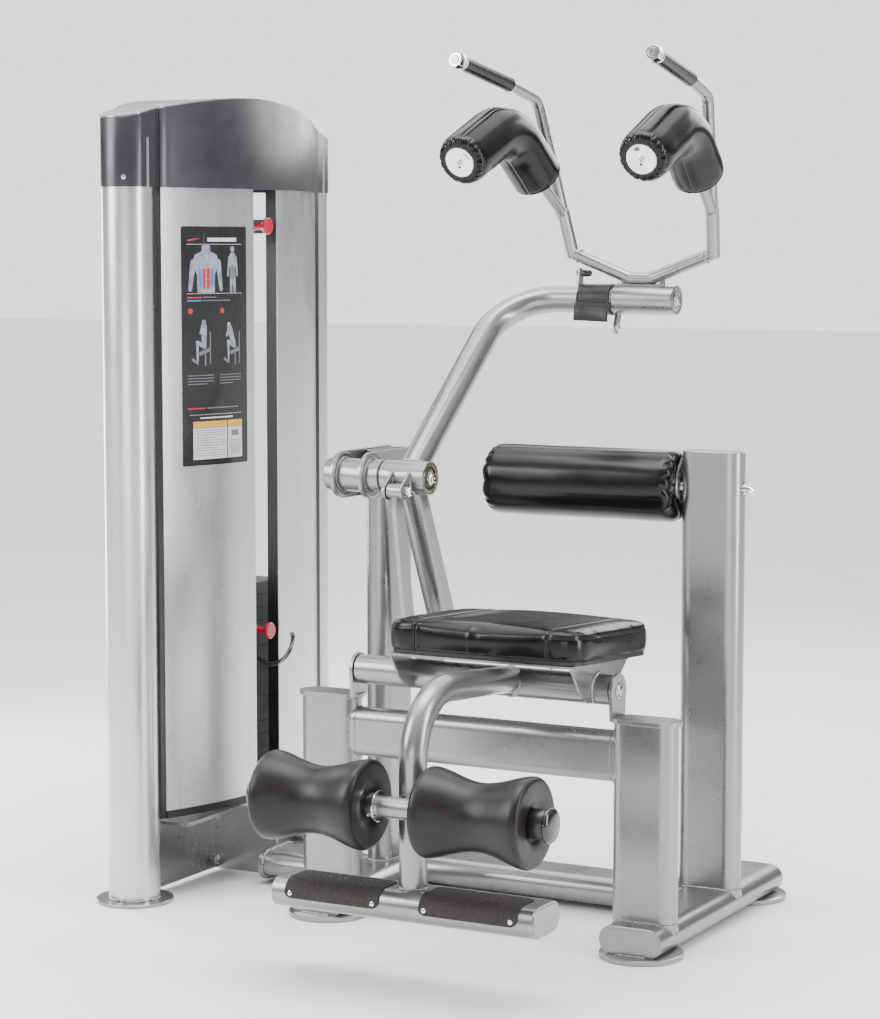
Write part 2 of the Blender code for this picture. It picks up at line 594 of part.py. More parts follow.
# -------------------------------------------------------------------- seat body
def make_seat_body():
    centre = (0.0, SEAT_PIVOT_Z)
    tube = turned("seat_pivot_tube", centre,
                  [(SEAT_TUBE_LEFT, 0.0125), (SEAT_TUBE_LEFT, SEAT_TUBE), (SEAT_TUBE_LEFT + 0.045, SEAT_TUBE),
                   (SEAT_TUBE_RIGHT, SEAT_TUBE), (SEAT_TUBE_RIGHT, 0.0125)], "frame_paint", ROUND, True)
    lever_outline = [(0.024 * math.cos(a), SEAT_PIVOT_Z + 0.024 * math.sin(a))
                     for a in (math.radians(100 + 20 * i) for i in range(9))]
    lever_outline += [(LINK_LOW[0] + 0.020 * math.cos(a), LINK_LOW[1] + 0.020 * math.sin(a))
                      for a in (math.radians(-80 + 20 * i) for i in range(9))]
    lever_x = ARM_X - LINK_THICK / 2 - 0.011
    lever = prism("lever", lever_outline, "X", lever_x - 0.004, lever_x + 0.004, "frame_paint")
    pin = turned("pin", LINK_LOW, [(lever_x - 0.006, 0.008), (ARM_X + 0.010, 0.008), (ARM_X + 0.010, 0.0085),
                                   (ARM_X + 0.012, 0.0085)], "steel", 12)
    bore = rod("bore", (SEAT_TUBE_LEFT - 0.01, *centre), (SEAT_TUBE_RIGHT + 0.01, *centre), 0.0125, "steel", 16)
    tube = cut(fuse("seat_pivot_tube", [tube, lever, pin]), bore)

    sheet = 0.005
    low_z = SEAT_FRONT_Z - 0.0065
    seat_path = []
    drop = math.tan(SEAT_TILT)
    for y in (SEAT_FRONT + 0.012, 0.150):
        seat_path.append((y, low_z - (y - SEAT_FRONT) * drop))
    deck = prism("deck", [seat_path[0], seat_path[1], (seat_path[1][0], seat_path[1][1] - sheet),
                          (seat_path[0][0], seat_path[0][1] - sheet)],
                 "X", BRACKET_LEFT, BRACKET_RIGHT, "frame_paint")
    tabs = []
    tab_outline = [seat_path[0], (-0.087, 0.552), (-0.045, 0.522), (0.040, 0.524), (0.110, 0.560), seat_path[1]]
    for low in (BRACKET_LEFT, BRACKET_RIGHT - sheet):
        tabs.append(prism("tab", tab_outline, "X", low, low + sheet, "frame_paint"))
    tube_space = rod("tube_space", (SEAT_TUBE_LEFT, *centre), (0.02, *centre), SEAT_TUBE + GAP, "steel", ROUND)
    bracket = cut(fuse("seat_bracket", [deck] + tabs), tube_space)

    middle = Vector((SEAT_X, (SEAT_FRONT + SEAT_REAR) / 2, 0))
    depth = SEAT_REAR - SEAT_FRONT
    middle.z = SEAT_FRONT_Z - depth / 2 * drop
    rings = []
    for height, inset in ((0.0, 0.007), (0.006, 0.001), (0.012, 0.0), (SEAT_THICK - 0.018, 0.0),
                          (SEAT_THICK - 0.007, 0.003), (SEAT_THICK, 0.012), (SEAT_THICK + 0.005, 0.040)):
        ring = []
        for u, v in rounded_box(SEAT_WIDTH - 2 * inset, depth - 2 * inset, SEAT_CORNER - inset, 4):
            ring.append(middle + Vector((u, v, height - v * drop)))
        rings.append(ring)
    pad = from_rings("seat_pad", rings, "vinyl")
    return [tube, bracket, pad] + make_leg()


def make_leg():
    leg_path = bent_path([(USER_X, -0.010, 0.5555), (USER_X, LEG_Y, 0.5880), (USER_X, LEG_Y, FOOT_BAR_Z)],
                         0.130, 9)
    leg = sweep("leg_tube", leg_path, circle(LEG_RADIUS, ROUND), "frame_paint")
    pivot_space = rod("pivot_space", (SEAT_TUBE_LEFT, 0, SEAT_PIVOT_Z), (0.02, 0, SEAT_PIVOT_Z),
                      SEAT_TUBE + GAP, "steel", ROUND)
    leg = cut(leg, pivot_space)
    bar_section = shifted(oval(FOOT_BAR_WIDE, FOOT_BAR_THIN), LEG_Y, FOOT_BAR_Z)
    bar = prism("foot_bar", bar_section, "X", USER_X - FOOT_BAR_HALF, USER_X + FOOT_BAR_HALF, "frame_paint")
    bar_space = prism("bar_space", shifted(oval(FOOT_BAR_WIDE + 2 * GAP, FOOT_BAR_THIN + 2 * GAP), LEG_Y,
                                           FOOT_BAR_Z),
                      "X", USER_X - 0.1, USER_X + 0.1, "steel")
    leg = cut(leg, bar_space)

    plug = [(ROLLER_OUT + 0.001, SHAFT_RADIUS), (ROLLER_OUT + 0.001, 0.030), (ROLLER_OUT + 0.027, 0.030),
            (ROLLER_OUT + 0.027, 0.035), (ROLLER_OUT + 0.034, 0.034), (ROLLER_OUT + 0.041, 0.022)]
    profile = [(USER_X - x, r) for x, r in reversed(plug)] + [(USER_X + x, r) for x, r in plug]
    shaft = turned("roller_shaft", (ROLLER_Y, ROLLER_Z), profile, "frame_paint", ROUND)
    shaft_space = rod("shaft_space", (USER_X - 0.1, ROLLER_Y, ROLLER_Z), (USER_X + 0.1, ROLLER_Y, ROLLER_Z),
                      SHAFT_RADIUS + GAP, "steel", ROUND)
    leg = cut(leg, shaft_space)
    pieces = [leg, bar, shaft]

    for side, label in ((-1, "left"), (1, "right")):
        near = USER_X + side * (ROLLER_IN - 0.0175)
        far = USER_X + side * (ROLLER_IN - 0.001)
        pieces.append(turned(label + "_shaft_collar", (ROLLER_Y, ROLLER_Z),
                             [(near, SHAFT_RADIUS + GAP), (near, 0.0310), (far, 0.0310),
                              (far, SHAFT_RADIUS + GAP)], "chrome", ROUND, True))
        pieces.append(make_tread(label, side))
    return pieces


def make_tread(label, side):
    """Gritty sheet wrapped over the top and front of the foot bar."""
    thick = 0.0018
    reach = (FOOT_BAR_WIDE - FOOT_BAR_THIN) / 2
    radius = FOOT_BAR_THIN / 2
    inner = []
    outer = []
    for step in range(9):
        angle = math.radians(90 + 12.5 * step)
        for points, size in ((inner, radius + GAP), (outer, radius + GAP + thick)):
            points.append((LEG_Y - reach + size * math.cos(angle), FOOT_BAR_Z + size * math.sin(angle)))
    rear_y = LEG_Y + reach * 0.75
    outline = [(rear_y, FOOT_BAR_Z + radius + GAP + thick)] + outer + list(reversed(inner))
    outline.append((rear_y, FOOT_BAR_Z + radius + GAP))
    ends = sorted((USER_X + side * 0.045, USER_X + side * (FOOT_BAR_HALF - 0.032)))
    return prism(label + "_foot_tread", outline, "X", ends[0], ends[1], "grit")


def make_foot_roller(label, side):
    """Waisted foam roller turning on the shaft."""
    length = ROLLER_OUT - ROLLER_IN
    bore = SHAFT_RADIUS + 0.0008
    profile = [(0.0, bore), (0.0, ROLLER_END - 0.022), (0.004, ROLLER_END - 0.006), (0.014, ROLLER_END)]
    for step in range(1, 8):
        along = 0.014 + (length - 0.028) * step / 8
        dip = math.sin(math.pi * step / 8) ** 1.6
        profile.append((along, ROLLER_END - (ROLLER_END - ROLLER_WAIST) * dip))
    profile += [(length - 0.014, ROLLER_END), (length - 0.004, ROLLER_END - 0.006),
                (length, ROLLER_END - 0.022), (length, bore)]
    start = USER_X + side * ROLLER_IN
    return turned(label + "_foot_roller", (ROLLER_Y, ROLLER_Z),
                  [(start + side * x, r) for x, r in profile], "foam", ROUND, True)


# ----------------------------------------------------------------------- tower
def bow_x(y, grow=0.0):
    """X of the bowed tower face at a given y."""
    half = (TOWER_REAR - TOWER_FRONT) / 2 - 0.043
    reach = min(1.0, abs(y - TOWER_Y) / half)
    return PANEL_EDGE_X + (PANEL_CROWN_X - PANEL_EDGE_X) * (1 - reach ** 2.2) + grow


def make_tower():
    for name, y in (("front_column", TOWER_FRONT), ("rear_column", TOWER_REAR)):
        column = prism("column", shifted(circle(COLUMN_RADIUS, 28), TOWER_X, y), "Z", 0.005, COLUMN_TOP,
                       "panel_paint")
        foot = prism("foot", shifted(circle(0.085, 28), TOWER_X, y), "Z", 0.0, 0.007, "frame_paint")
        fuse(name, [column, foot])
    make_tower_web()
    make_panels()
    make_cap()
    make_stack_guides()


def make_tower_web():
    inner = COLUMN_RADIUS + 0.0006
    low_y = TOWER_FRONT + inner
    high_y = TOWER_REAR - inner
    thick = PLATE / 2
    web = box("web", (TOWER_X - thick, low_y, 0.0085), (TOWER_X + thick, high_y, 0.165), "frame_paint")
    shelf = box("shelf", (TOWER_X - 0.050, low_y + 0.030, 0.157), (TOWER_X + 0.085, high_y - 0.030, 0.166),
                "frame_paint")
    arm = box("arm", (TOWER_X, TOWER_LINK_Y - 0.006, 0.008), (LINK_FLANGE_X - 0.004, TOWER_LINK_Y + 0.006, 0.160),
              "frame_paint")
    face = prism("face", shifted(oval(OVAL_WIDE + 0.010, OVAL_THIN + 0.010), TOWER_LINK_Y, BASE_Z + 0.0015), "X",
                 LINK_FLANGE_X - 0.010, LINK_FLANGE_X - GAP, "frame_paint")
    strap = box("strap", (TOWER_X, TOWER_LINK_Y - 0.020, 0.012), (TOWER_X + 0.014, TOWER_LINK_Y - 0.005, 0.150),
                "frame_paint")
    bolts = [rod("bolt", (TOWER_X + 0.013, TOWER_LINK_Y - 0.013, z), (TOWER_X + 0.022, TOWER_LINK_Y - 0.013, z),
                 0.0085, "chrome", 6) for z in (0.026, 0.138)]
    fuse("tower_web", [web, shelf, arm, face, strap] + bolts)


def make_panels():
    """Bowed covers in front of and behind the pin slot, each with an inward return."""
    sheet = 0.0025
    step_count = 7
    for name, start, end in (("front_panel", TOWER_FRONT + 0.043, TOWER_Y - SLOT_HALF),
                             ("rear_panel", TOWER_REAR - 0.043, TOWER_Y + SLOT_HALF)):
        outer = []
        for i in range(step_count + 1):
            y = start + (end - start) * i / step_count
            outer.append((bow_x(y), y))
        toward = 1 if end > start else -1
        slot_x = bow_x(end)
        inner = [(x - sheet, y) for x, y in outer[1:]]
        inner[-1] = (slot_x - sheet, end - toward * sheet)
        return_in = [(slot_x - 0.028, end), (slot_x - 0.028, end - toward * sheet)]
        start_in = [(outer[0][0] - sheet, start + toward * sheet), (outer[0][0] - 0.020, start + toward * sheet),
                    (outer[0][0] - 0.020, start)]
        outline = outer + return_in + list(reversed(inner)) + start_in
        prism(name, outline, "Z", PANEL_LOW, PANEL_TOP, "panel_paint")


def cap_height(y):
    """Arched top line of the cap, highest ahead of the tower's middle."""
    return CAP_CROWN - 0.335 * abs(y - CAP_CROWN_Y) ** 1.9


def cap_outline():
    """Plan outline: column noses at both ends, bowed main faces between."""
    nose = COLUMN_RADIUS + 0.0035
    right = []
    for i in range(7):
        angle = math.radians(-90 + 68 * i / 6)
        right.append((TOWER_X + nose * math.cos(angle), TOWER_FRONT + nose * math.sin(angle)))
    front_edge = TOWER_FRONT + 0.040
    right.append((PANEL_EDGE_X - 0.001, front_edge - 0.006))
    right.append((PANEL_EDGE_X + 0.006, front_edge))
    steps = 12
    span = TOWER_REAR - 0.040 - front_edge
    for i in range(1, steps):
        y = front_edge + span * i / steps
        right.append((bow_x(y, 0.006), y))
    right.append((PANEL_EDGE_X + 0.006, TOWER_REAR - 0.040))
    right.append((PANEL_EDGE_X - 0.001, TOWER_REAR - 0.034))
    for i in range(7):
        angle = math.radians(22 + 68 * i / 6)
        right.append((TOWER_X + nose * math.cos(angle), TOWER_REAR + nose * math.sin(angle)))
    left = [(2 * TOWER_X - x, y) for x, y in reversed(right[1:-1])]
    return right + left


def make_cap():
    """Arched hood over both columns, open underneath."""
    outline = cap_outline()
    wall = 0.0035
    inner = [(TOWER_X + (x - TOWER_X) * 0.955, TOWER_Y + (y - TOWER_Y) * 0.992) for x, y in outline]
    outer_low = [Vector((x, y, CAP_LOW)) for x, y in outline]
    outer_high = [Vector((x, y, cap_height(y))) for x, y in outline]
    inner_low = [Vector((x, y, CAP_LOW)) for x, y in inner]
    inner_high = [Vector((x, y, cap_height(y) - wall)) for x, y in inner]
    count = len(outline)
    points = outer_low + outer_high + inner_low + inner_high
    faces = []
    for i in range(count):
        nxt = (i + 1) % count
        faces.append((i, nxt, count + nxt, count + i))
        faces.append((2 * count + nxt, 2 * count + i, 3 * count + i, 3 * count + nxt))
        faces.append((nxt, i, 2 * count + i, 2 * count + nxt))
    half = count // 2
    for base in (count, 3 * count):
        for i in range(half):
            left = base + (count - i) % count
            left_next = base + (count - i - 1) % count
            right = base + i
            right_next = base + i + 1
            corners = [right, right_next, left_next, left]
            unique = list(dict.fromkeys(corners))
            if len(unique) >= 3:
                faces.append(tuple(unique if base == count else reversed(unique)))
    mesh_data = bpy.data.meshes.new("tower_cap")
    mesh_data.from_pydata([tuple(p) for p in points], [], faces)
    cap = finish_object("tower_cap", mesh_data, "cap_paint")
    for y in (TOWER_FRONT, TOWER_REAR):
        space = prism("space", shifted(circle(COLUMN_RADIUS + 0.0006, 28), TOWER_X, y), "Z", 1.5,
                      COLUMN_TOP + 0.001, "steel")
        cut(cap, space)
    return cap


def make_stack_guides():
    crosshead = box("crosshead", (TOWER_X - 0.020, TOWER_FRONT + COLUMN_RADIUS + 0.001, 1.596),
                    (TOWER_X + 0.020, TOWER_REAR - COLUMN_RADIUS - 0.001, 1.612), "frame_paint")
    cheeks = [box("cheek", (TOWER_X + x - 0.003, TOWER_Y - 0.030, 1.606),
                  (TOWER_X + x + 0.003, TOWER_Y + 0.030, 1.672), "frame_paint") for x in (-0.016, 0.016)]
    pin = rod("pin", (TOWER_X - 0.022, TOWER_Y, PULLEY_Z), (TOWER_X + 0.022, TOWER_Y, PULLEY_Z), 0.006,
              "steel", 12)
    window = box("window", (TOWER_X - 0.0125, TOWER_Y - 0.060, 1.55), (TOWER_X + 0.0125, TOWER_Y + 0.060, 1.63),
                 "steel")
    head = fuse("top_crosshead", [cut(crosshead, window)] + cheeks + [pin])
    turned("top_pulley", (TOWER_Y, PULLEY_Z),
           [(TOWER_X - 0.010, 0.0063), (TOWER_X - 0.010, PULLEY_RADIUS),
            (TOWER_X - 0.006, PULLEY_RADIUS - 0.006), (TOWER_X + 0.006, PULLEY_RADIUS - 0.006),
            (TOWER_X + 0.010, PULLEY_RADIUS), (TOWER_X + 0.010, 0.0063)],
           "rubber", ROUND, True)
    for label, side in (("front", -1), ("rear", 1)):
        y = TOWER_Y + side * ROD_OFFSET
        rod(label + "_guide_rod", (STACK_X, y, 0.1665), (STACK_X, y, 1.5955), ROD_RADIUS, "chrome", 16)
    return head


def plate_pile(name, low, count):
    """Weight plates of one group as one body with a groove at every joint."""
    groove = 0.0012
    inset = 0.003
    rings = []

    def add_ring(z, margin):
        half_x = STACK_DEEP / 2 - margin
        half_y = STACK_WIDE / 2 - margin
        rings.append([Vector((STACK_X + sx * half_x, TOWER_Y + sy * half_y, z))
                      for sx, sy in ((1, 1), (-1, 1), (-1, -1), (1, -1))])

    for i in range(count):
        base = low + i * PLATE_PITCH
        if i > 0:
            add_ring(base + groove / 2, inset)
            add_ring(base + groove / 2, 0)
        else:
            add_ring(base, 0)
        if i < count - 1:
            add_ring(base + PLATE_PITCH - groove / 2, 0)
            add_ring(base + PLATE_PITCH - groove / 2, inset)
        else:
            add_ring(base + PLATE_PITCH, 0)
    pile = from_rings(name, rings, "stack_paint")
    for side in (-1, 1):
        y = TOWER_Y + side * ROD_OFFSET
        hole = rod("hole", (STACK_X, y, low - 0.01), (STACK_X, y, low + count * PLATE_PITCH + 0.01),
                   ROD_RADIUS + 0.002, "steel", 12)
        cut(pile, hole)
    return pile


def make_stack():
    lifted_low = STACK_TOP - LIFTED_PLATES * PLATE_PITCH
    plate_pile("resting_plates", lifted_low - GAP - RESTING_PLATES * PLATE_PITCH, RESTING_PLATES)
    lifted = plate_pile("lifted_plates", lifted_low, LIFTED_PLATES)
    eye = prism("eye", shifted(circle(0.016, 12), STACK_X, TOWER_Y), "Z", STACK_TOP - 0.002, STACK_TOP + 0.030,
                "steel")
    pin_hole = rod("pin_hole", (STACK_X - 0.030, TOWER_Y, PIN_Z), (STACK_X + 0.2, TOWER_Y, PIN_Z), 0.0058,
                   "steel", 12)
    lifted = cut(fuse("lifted_plates", [lifted, eye]), pin_hole)
    belt = box("lift_belt", (STACK_X - 0.0095, TOWER_Y - 0.0015, STACK_TOP + 0.030 + GAP),
               (STACK_X + 0.0095, TOWER_Y + 0.0015, PULLEY_Z - PULLEY_RADIUS - GAP), "rubber")
    return [lifted, belt]


def knob_profile(face):
    """Pull knob: flat disc on a tapered neck, ending at the face x."""
    return [(face - 0.052, 0.0100), (face - 0.045, 0.0125), (face - 0.034, 0.0085), (face - 0.018, 0.0085),
            (face - 0.010, 0.0175), (face - 0.006, 0.0195), (face - 0.002, 0.0195), (face, 0.0175)]


def make_pins():
    face = -1.064
    pin = turned("selector_pin", (TOWER_Y, PIN_Z),
                 [(STACK_X - 0.028, 0.0030), (STACK_X - 0.022, 0.0048), (face - 0.052, 0.0048)]
                 + knob_profile(face), "red_plastic", 16)
    high = turned("add_weight_knob", (TOWER_Y, ADD_Z),
                  [(STACK_X + 0.062, 0.0055), (face - 0.052, 0.0055)] + knob_profile(face), "red_plastic", 16)
    add = box("add_weight", (STACK_X - 0.045, TOWER_Y - 0.130, ADD_Z - 0.016),
              (STACK_X + 0.060, TOWER_Y + 0.130, ADD_Z + 0.016), "stack_paint")
    for side in (-1, 1):
        y = TOWER_Y + side * ROD_OFFSET
        cut(add, rod("hole", (STACK_X, y, ADD_Z - 0.05), (STACK_X, y, ADD_Z + 0.05), ROD_RADIUS + GAP,
                     "steel", 16))
    slit = box("slit", (STACK_X - 0.014, TOWER_Y - 0.006, ADD_Z - 0.05),
               (STACK_X + 0.014, TOWER_Y + 0.006, ADD_Z + 0.05), "steel")
    cut(add, slit)
    return pin, high, make_tether()


TETHER_ROUTE = [(-1.046, 0.309, 0.561), (-1.045, 0.315, 0.550), (-1.046, 0.309, 0.530),
                (-1.050, 0.296, 0.510), (-1.060, 0.282, 0.496), (-1.076, 0.272, 0.490),
                (-1.094, 0.270, 0.492), (-1.110, 0.272, 0.500), (-1.120, 0.274, 0.506)]


def smooth_route(points, per_span):
    """Catmull-Rom points through a hand-chosen route."""
    points = [Vector(point) for point in points]
    padded = [2 * points[0] - points[1]] + points + [2 * points[-1] - points[-2]]
    route = []
    for a, b, c, d in zip(padded, padded[1:], padded[2:], padded[3:]):
        for i in range(per_span):
            t = i / per_span
            route.append(0.5 * ((2 * b) + (c - a) * t + (2 * a - 5 * b + 4 * c - d) * t * t
                                + (3 * b - a - 3 * c + d) * t * t * t))
    route.append(points[-1])
    return route


def make_tether():
    """Curly cord of the selector pin, as one tube of its outer diameter."""
    curve = bpy.data.curves.new("pin_tether", "CURVE")
    curve.dimensions = "3D"
    curve.bevel_depth = 0.0055
    curve.bevel_resolution = 2
    curve.use_fill_caps = True
    route = smooth_route(TETHER_ROUTE, 2)
    spline = curve.splines.new("POLY")
    spline.points.add(len(route) - 1)
    for slot, point in zip(spline.points, route):
        slot.co = (*point, 1.0)
    curve.materials.append(MATERIALS["rubber"])
    tether = bpy.data.objects.new("pin_tether", curve)
    bpy.context.collection.objects.link(tether)
    return tether


# -------------------------------------------------------------------- assembly
def joint_empty(name, place, parent=None):
    empty = bpy.data.objects.new(name, None)
    bpy.context.collection.objects.link(empty)
    empty.location = Vector(place) - (PLACES[parent.name] if parent else Vector((0, 0, 0)))
    PLACES[name] = Vector(place)
    if parent:
        empty.parent = parent
    return empty


def hang(pieces, empty):
    """Give pieces built in place a parent on their joint axis."""
    for piece in pieces:
        piece.data.transform(Matrix.Translation(-PLACES[empty.name]))
        piece.parent = empty


def centre_on_floor():
    """Move the machine so that the middle of its footprint is the origin."""
    bpy.context.view_layer.update()
    points = []
    for obj in bpy.data.objects:
        if obj.type == "MESH":
            points += [obj.matrix_world @ corner.co for corner in obj.data.vertices]
    shift = Vector([-(max(p[i] for p in points) + min(p[i] for p in points)) / 2 for i in (0, 1)] + [0])
    for obj in bpy.data.objects:
        if obj.parent is None:
            obj.location += shift


def main():
    make_base()
    make_posts()
    make_pivot_brackets()
    make_pivot_housing()
    make_back_roller()
    make_tower()
    arm_joint = joint_empty("arm_joint", (ARM_X, PIVOT_Y, PIVOT_Z))
    hang(make_arm(), arm_joint)
    hang(make_link(), joint_empty("link_joint", (ARM_X, *LINK_TOP), arm_joint))
    hang(make_yoke(), joint_empty("yoke_joint", (USER_X, YOKE_Y, YOKE_Z), arm_joint))
    seat_joint = joint_empty("seat_joint", (USER_X, 0, SEAT_PIVOT_Z))
    hang(make_seat_body(), seat_joint)
    for label, side in (("left", -1), ("right", 1)):
        place = (USER_X + side * (ROLLER_IN + ROLLER_OUT) / 2, ROLLER_Y, ROLLER_Z)
        hang([make_foot_roller(label, side)], joint_empty(label + "_roller_joint", place, seat_joint))
    roller = bpy.data.objects["back_roller"]
    hang([roller], joint_empty("back_roller_joint", (USER_X, TALL_POST_Y, BACK_ROLLER_Z)))
    hang([bpy.data.objects["top_pulley"]], joint_empty("pulley_joint", (TOWER_X, TOWER_Y, PULLEY_Z)))
    stack_joint = joint_empty("stack_joint", (STACK_X, TOWER_Y, STACK_TOP))
    hang(make_stack(), stack_joint)
    pin, high, tether = make_pins()
    hang([pin, tether], joint_empty("selector_joint", (STACK_X, TOWER_Y, PIN_Z), stack_joint))
    hang([high], joint_empty("add_knob_joint", (STACK_X, TOWER_Y, ADD_Z)))
    centre_on_floor()


for old in list(bpy.data.objects):
    bpy.data.objects.remove(old)
MATERIALS = make_materials()
PLACES = {}
main()
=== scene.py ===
"""Looks of the seated abdominal crunch machine: camera, light, soft goods, hardware and materials.

Places are measured from the right short post (x = 0, y = 0), as in the CAD source, and
at() turns them into the row frame.  X runs across the user, the user faces -Y, Z is up.
"""
import math

import bmesh
import bpy
from mathutils import Matrix, Vector, noise
from mathutils.bvhtree import BVHTree


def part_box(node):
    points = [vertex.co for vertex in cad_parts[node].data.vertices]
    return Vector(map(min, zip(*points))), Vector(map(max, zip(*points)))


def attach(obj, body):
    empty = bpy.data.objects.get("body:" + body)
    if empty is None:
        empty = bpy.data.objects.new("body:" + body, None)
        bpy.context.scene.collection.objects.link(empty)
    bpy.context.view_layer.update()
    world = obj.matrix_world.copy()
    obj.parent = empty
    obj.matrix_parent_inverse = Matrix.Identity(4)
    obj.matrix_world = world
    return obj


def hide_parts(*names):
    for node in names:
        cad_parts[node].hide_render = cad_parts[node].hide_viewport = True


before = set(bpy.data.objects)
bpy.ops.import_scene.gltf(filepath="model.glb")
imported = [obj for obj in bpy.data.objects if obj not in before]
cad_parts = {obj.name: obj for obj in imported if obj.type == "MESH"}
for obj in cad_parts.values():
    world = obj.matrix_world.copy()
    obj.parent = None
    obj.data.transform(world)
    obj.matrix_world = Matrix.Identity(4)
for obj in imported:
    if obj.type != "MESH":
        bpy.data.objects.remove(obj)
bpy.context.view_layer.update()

# ------------------------------------------------------- places, as in the CAD
POST_LOW, POST_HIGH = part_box("right_short_post")
ORIGIN = Vector(((POST_LOW.x + POST_HIGH.x) / 2, (POST_LOW.y + POST_HIGH.y) / 2, 0.0))
GAP = 0.0003
USER_X, LEFT_X = -0.305, -0.751
OVAL_WIDE, OVAL_THIN = 0.1415, 0.0607
OVAL_REACH, OVAL_END = (OVAL_WIDE - OVAL_THIN) / 2, OVAL_THIN / 2
BASE_Z = 0.0415
BASE_TOP = BASE_Z + OVAL_THIN / 2
BASE_FRONT, BASE_REAR, LEFT_BASE_REAR = -0.076, 0.603, 0.47
CROSS_Y, TOWER_LINK_Y = 0.334, 0.21
FOOT_RADIUS = 0.088
SHORT_POST_TOP, BEAM_Z, BEAM_TALL, BEAM_THIN = 0.484, 0.410, 0.108, 0.052
TALL_POST_Y, TALL_POST_TOP = 0.346, 1.0226
ARM_POST_X, ARM_POST_Y, ARM_POST_TOP = -0.7605, 0.270, 1.006
PLATE = 0.009
PIVOT_Y, PIVOT_Z, PIVOT_TUBE = 0.125, 0.957, 0.0372
HUB_LEFT, HUB_RIGHT = -0.687, -0.574
ARM_X, ARM_CORNER_X, ARM_RADIUS = -0.630, -0.656, 0.0308
YOKE_Y, YOKE_Z, YOKE_RADIUS, YOKE_STUD = 0.640, 1.339, 0.034, 0.026
YOKE_LEFT, YOKE_RIGHT, WRAP_LEFT = -0.368, -0.217, -0.455
V_LOOK, UPRIGHT_RADIUS, HANDLE_LOOK, GRIP_RADIUS = 0.0148, 0.0150, 0.0132, 0.0162
PAD_RADIUS, DISC_RADIUS = 0.060, 0.034
LINK_TOP = (0.071, 0.931)
LINK_LOW = (0.142, 0.541)
SEAT_PIVOT_Z, SEAT_TUBE = 0.547, 0.032
SEAT_X, SEAT_WIDTH, SEAT_FRONT, SEAT_REAR, SEAT_THICK = -0.318, 0.462, -0.142, 0.240, 0.068
SEAT_CORNER, SEAT_FRONT_Z, SEAT_TILT = 0.050, 0.617, math.radians(3.4)
SEAT_SEAMS = (-0.470, -0.159)
BRACKET_LEFT, BRACKET_RIGHT = -0.538, -0.111
LEG_RADIUS, LEG_Y = 0.0285, -0.440
ROLLER_Y, ROLLER_Z = -0.497, 0.368
ROLLER_OUT, ROLLER_IN, ROLLER_END, ROLLER_WAIST = 0.298, 0.062, 0.090, 0.0675
SHAFT_RADIUS = 0.0215
FOOT_BAR_Z, FOOT_BAR_WIDE, FOOT_BAR_THIN, FOOT_BAR_HALF = 0.168, 0.125, 0.062, 0.292
BACK_ROLLER_Z, BACK_ROLLER_LEFT, BACK_ROLLER_RIGHT, BACK_ROLLER_RADIUS = 0.943, -0.530, -0.076, 0.0805
TOWER_X, TOWER_FRONT, TOWER_REAR = -1.198, -0.119, 0.622
TOWER_Y = (TOWER_FRONT + TOWER_REAR) / 2
COLUMN_RADIUS, COLUMN_TOP, CAP_LOW, CAP_CROWN, CAP_CROWN_Y = 0.057, 1.698, 1.590, 1.7935, 0.205
LINK_FLANGE_X = -1.023
PANEL_LOW, PANEL_TOP, PANEL_EDGE_X, PANEL_CROWN_X, SLOT_HALF = 0.200, 1.5897, -1.139, -1.073, 0.050
STACK_X, STACK_TOP = -1.198, 0.677

# ---------------------------------------------------------------- camera, light
CAMERA_AT = (2.2155, -4.987, 1.4565)
CAMERA_TURN, CAMERA_DOWN = math.radians(28.42), math.radians(5.57)
CAMERA_LENS, SENSOR = 94.63, 36.0


def at(x, y, z):
    """A place measured from the right short post, in the row frame."""
    return ORIGIN + Vector((x, y, z))


def make_camera():
    data = bpy.data.cameras.new("camera")
    data.lens = CAMERA_LENS
    data.sensor_width = SENSOR
    data.clip_end = 90
    camera = bpy.data.objects.new("camera", data)
    bpy.context.scene.collection.objects.link(camera)
    camera.location = at(*CAMERA_AT)
    ahead = Vector((-math.sin(CAMERA_TURN) * math.cos(CAMERA_DOWN),
                    math.cos(CAMERA_TURN) * math.cos(CAMERA_DOWN), -math.sin(CAMERA_DOWN)))
    camera.rotation_euler = ahead.to_track_quat("-Z", "Y").to_euler()
    bpy.context.scene.camera = camera


def make_light(name, place, size, power, target=(-0.6, 0.1, 0.9)):
    data = bpy.data.lights.new(name, "AREA")
    data.shape = "RECTANGLE"
    data.size, data.size_y = size
    data.energy = power
    light = bpy.data.objects.new(name, data)
    bpy.context.scene.collection.objects.link(light)
    light.location = at(*place)
    light.rotation_euler = (at(*target) - at(*place)).to_track_quat("-Z", "Y").to_euler()


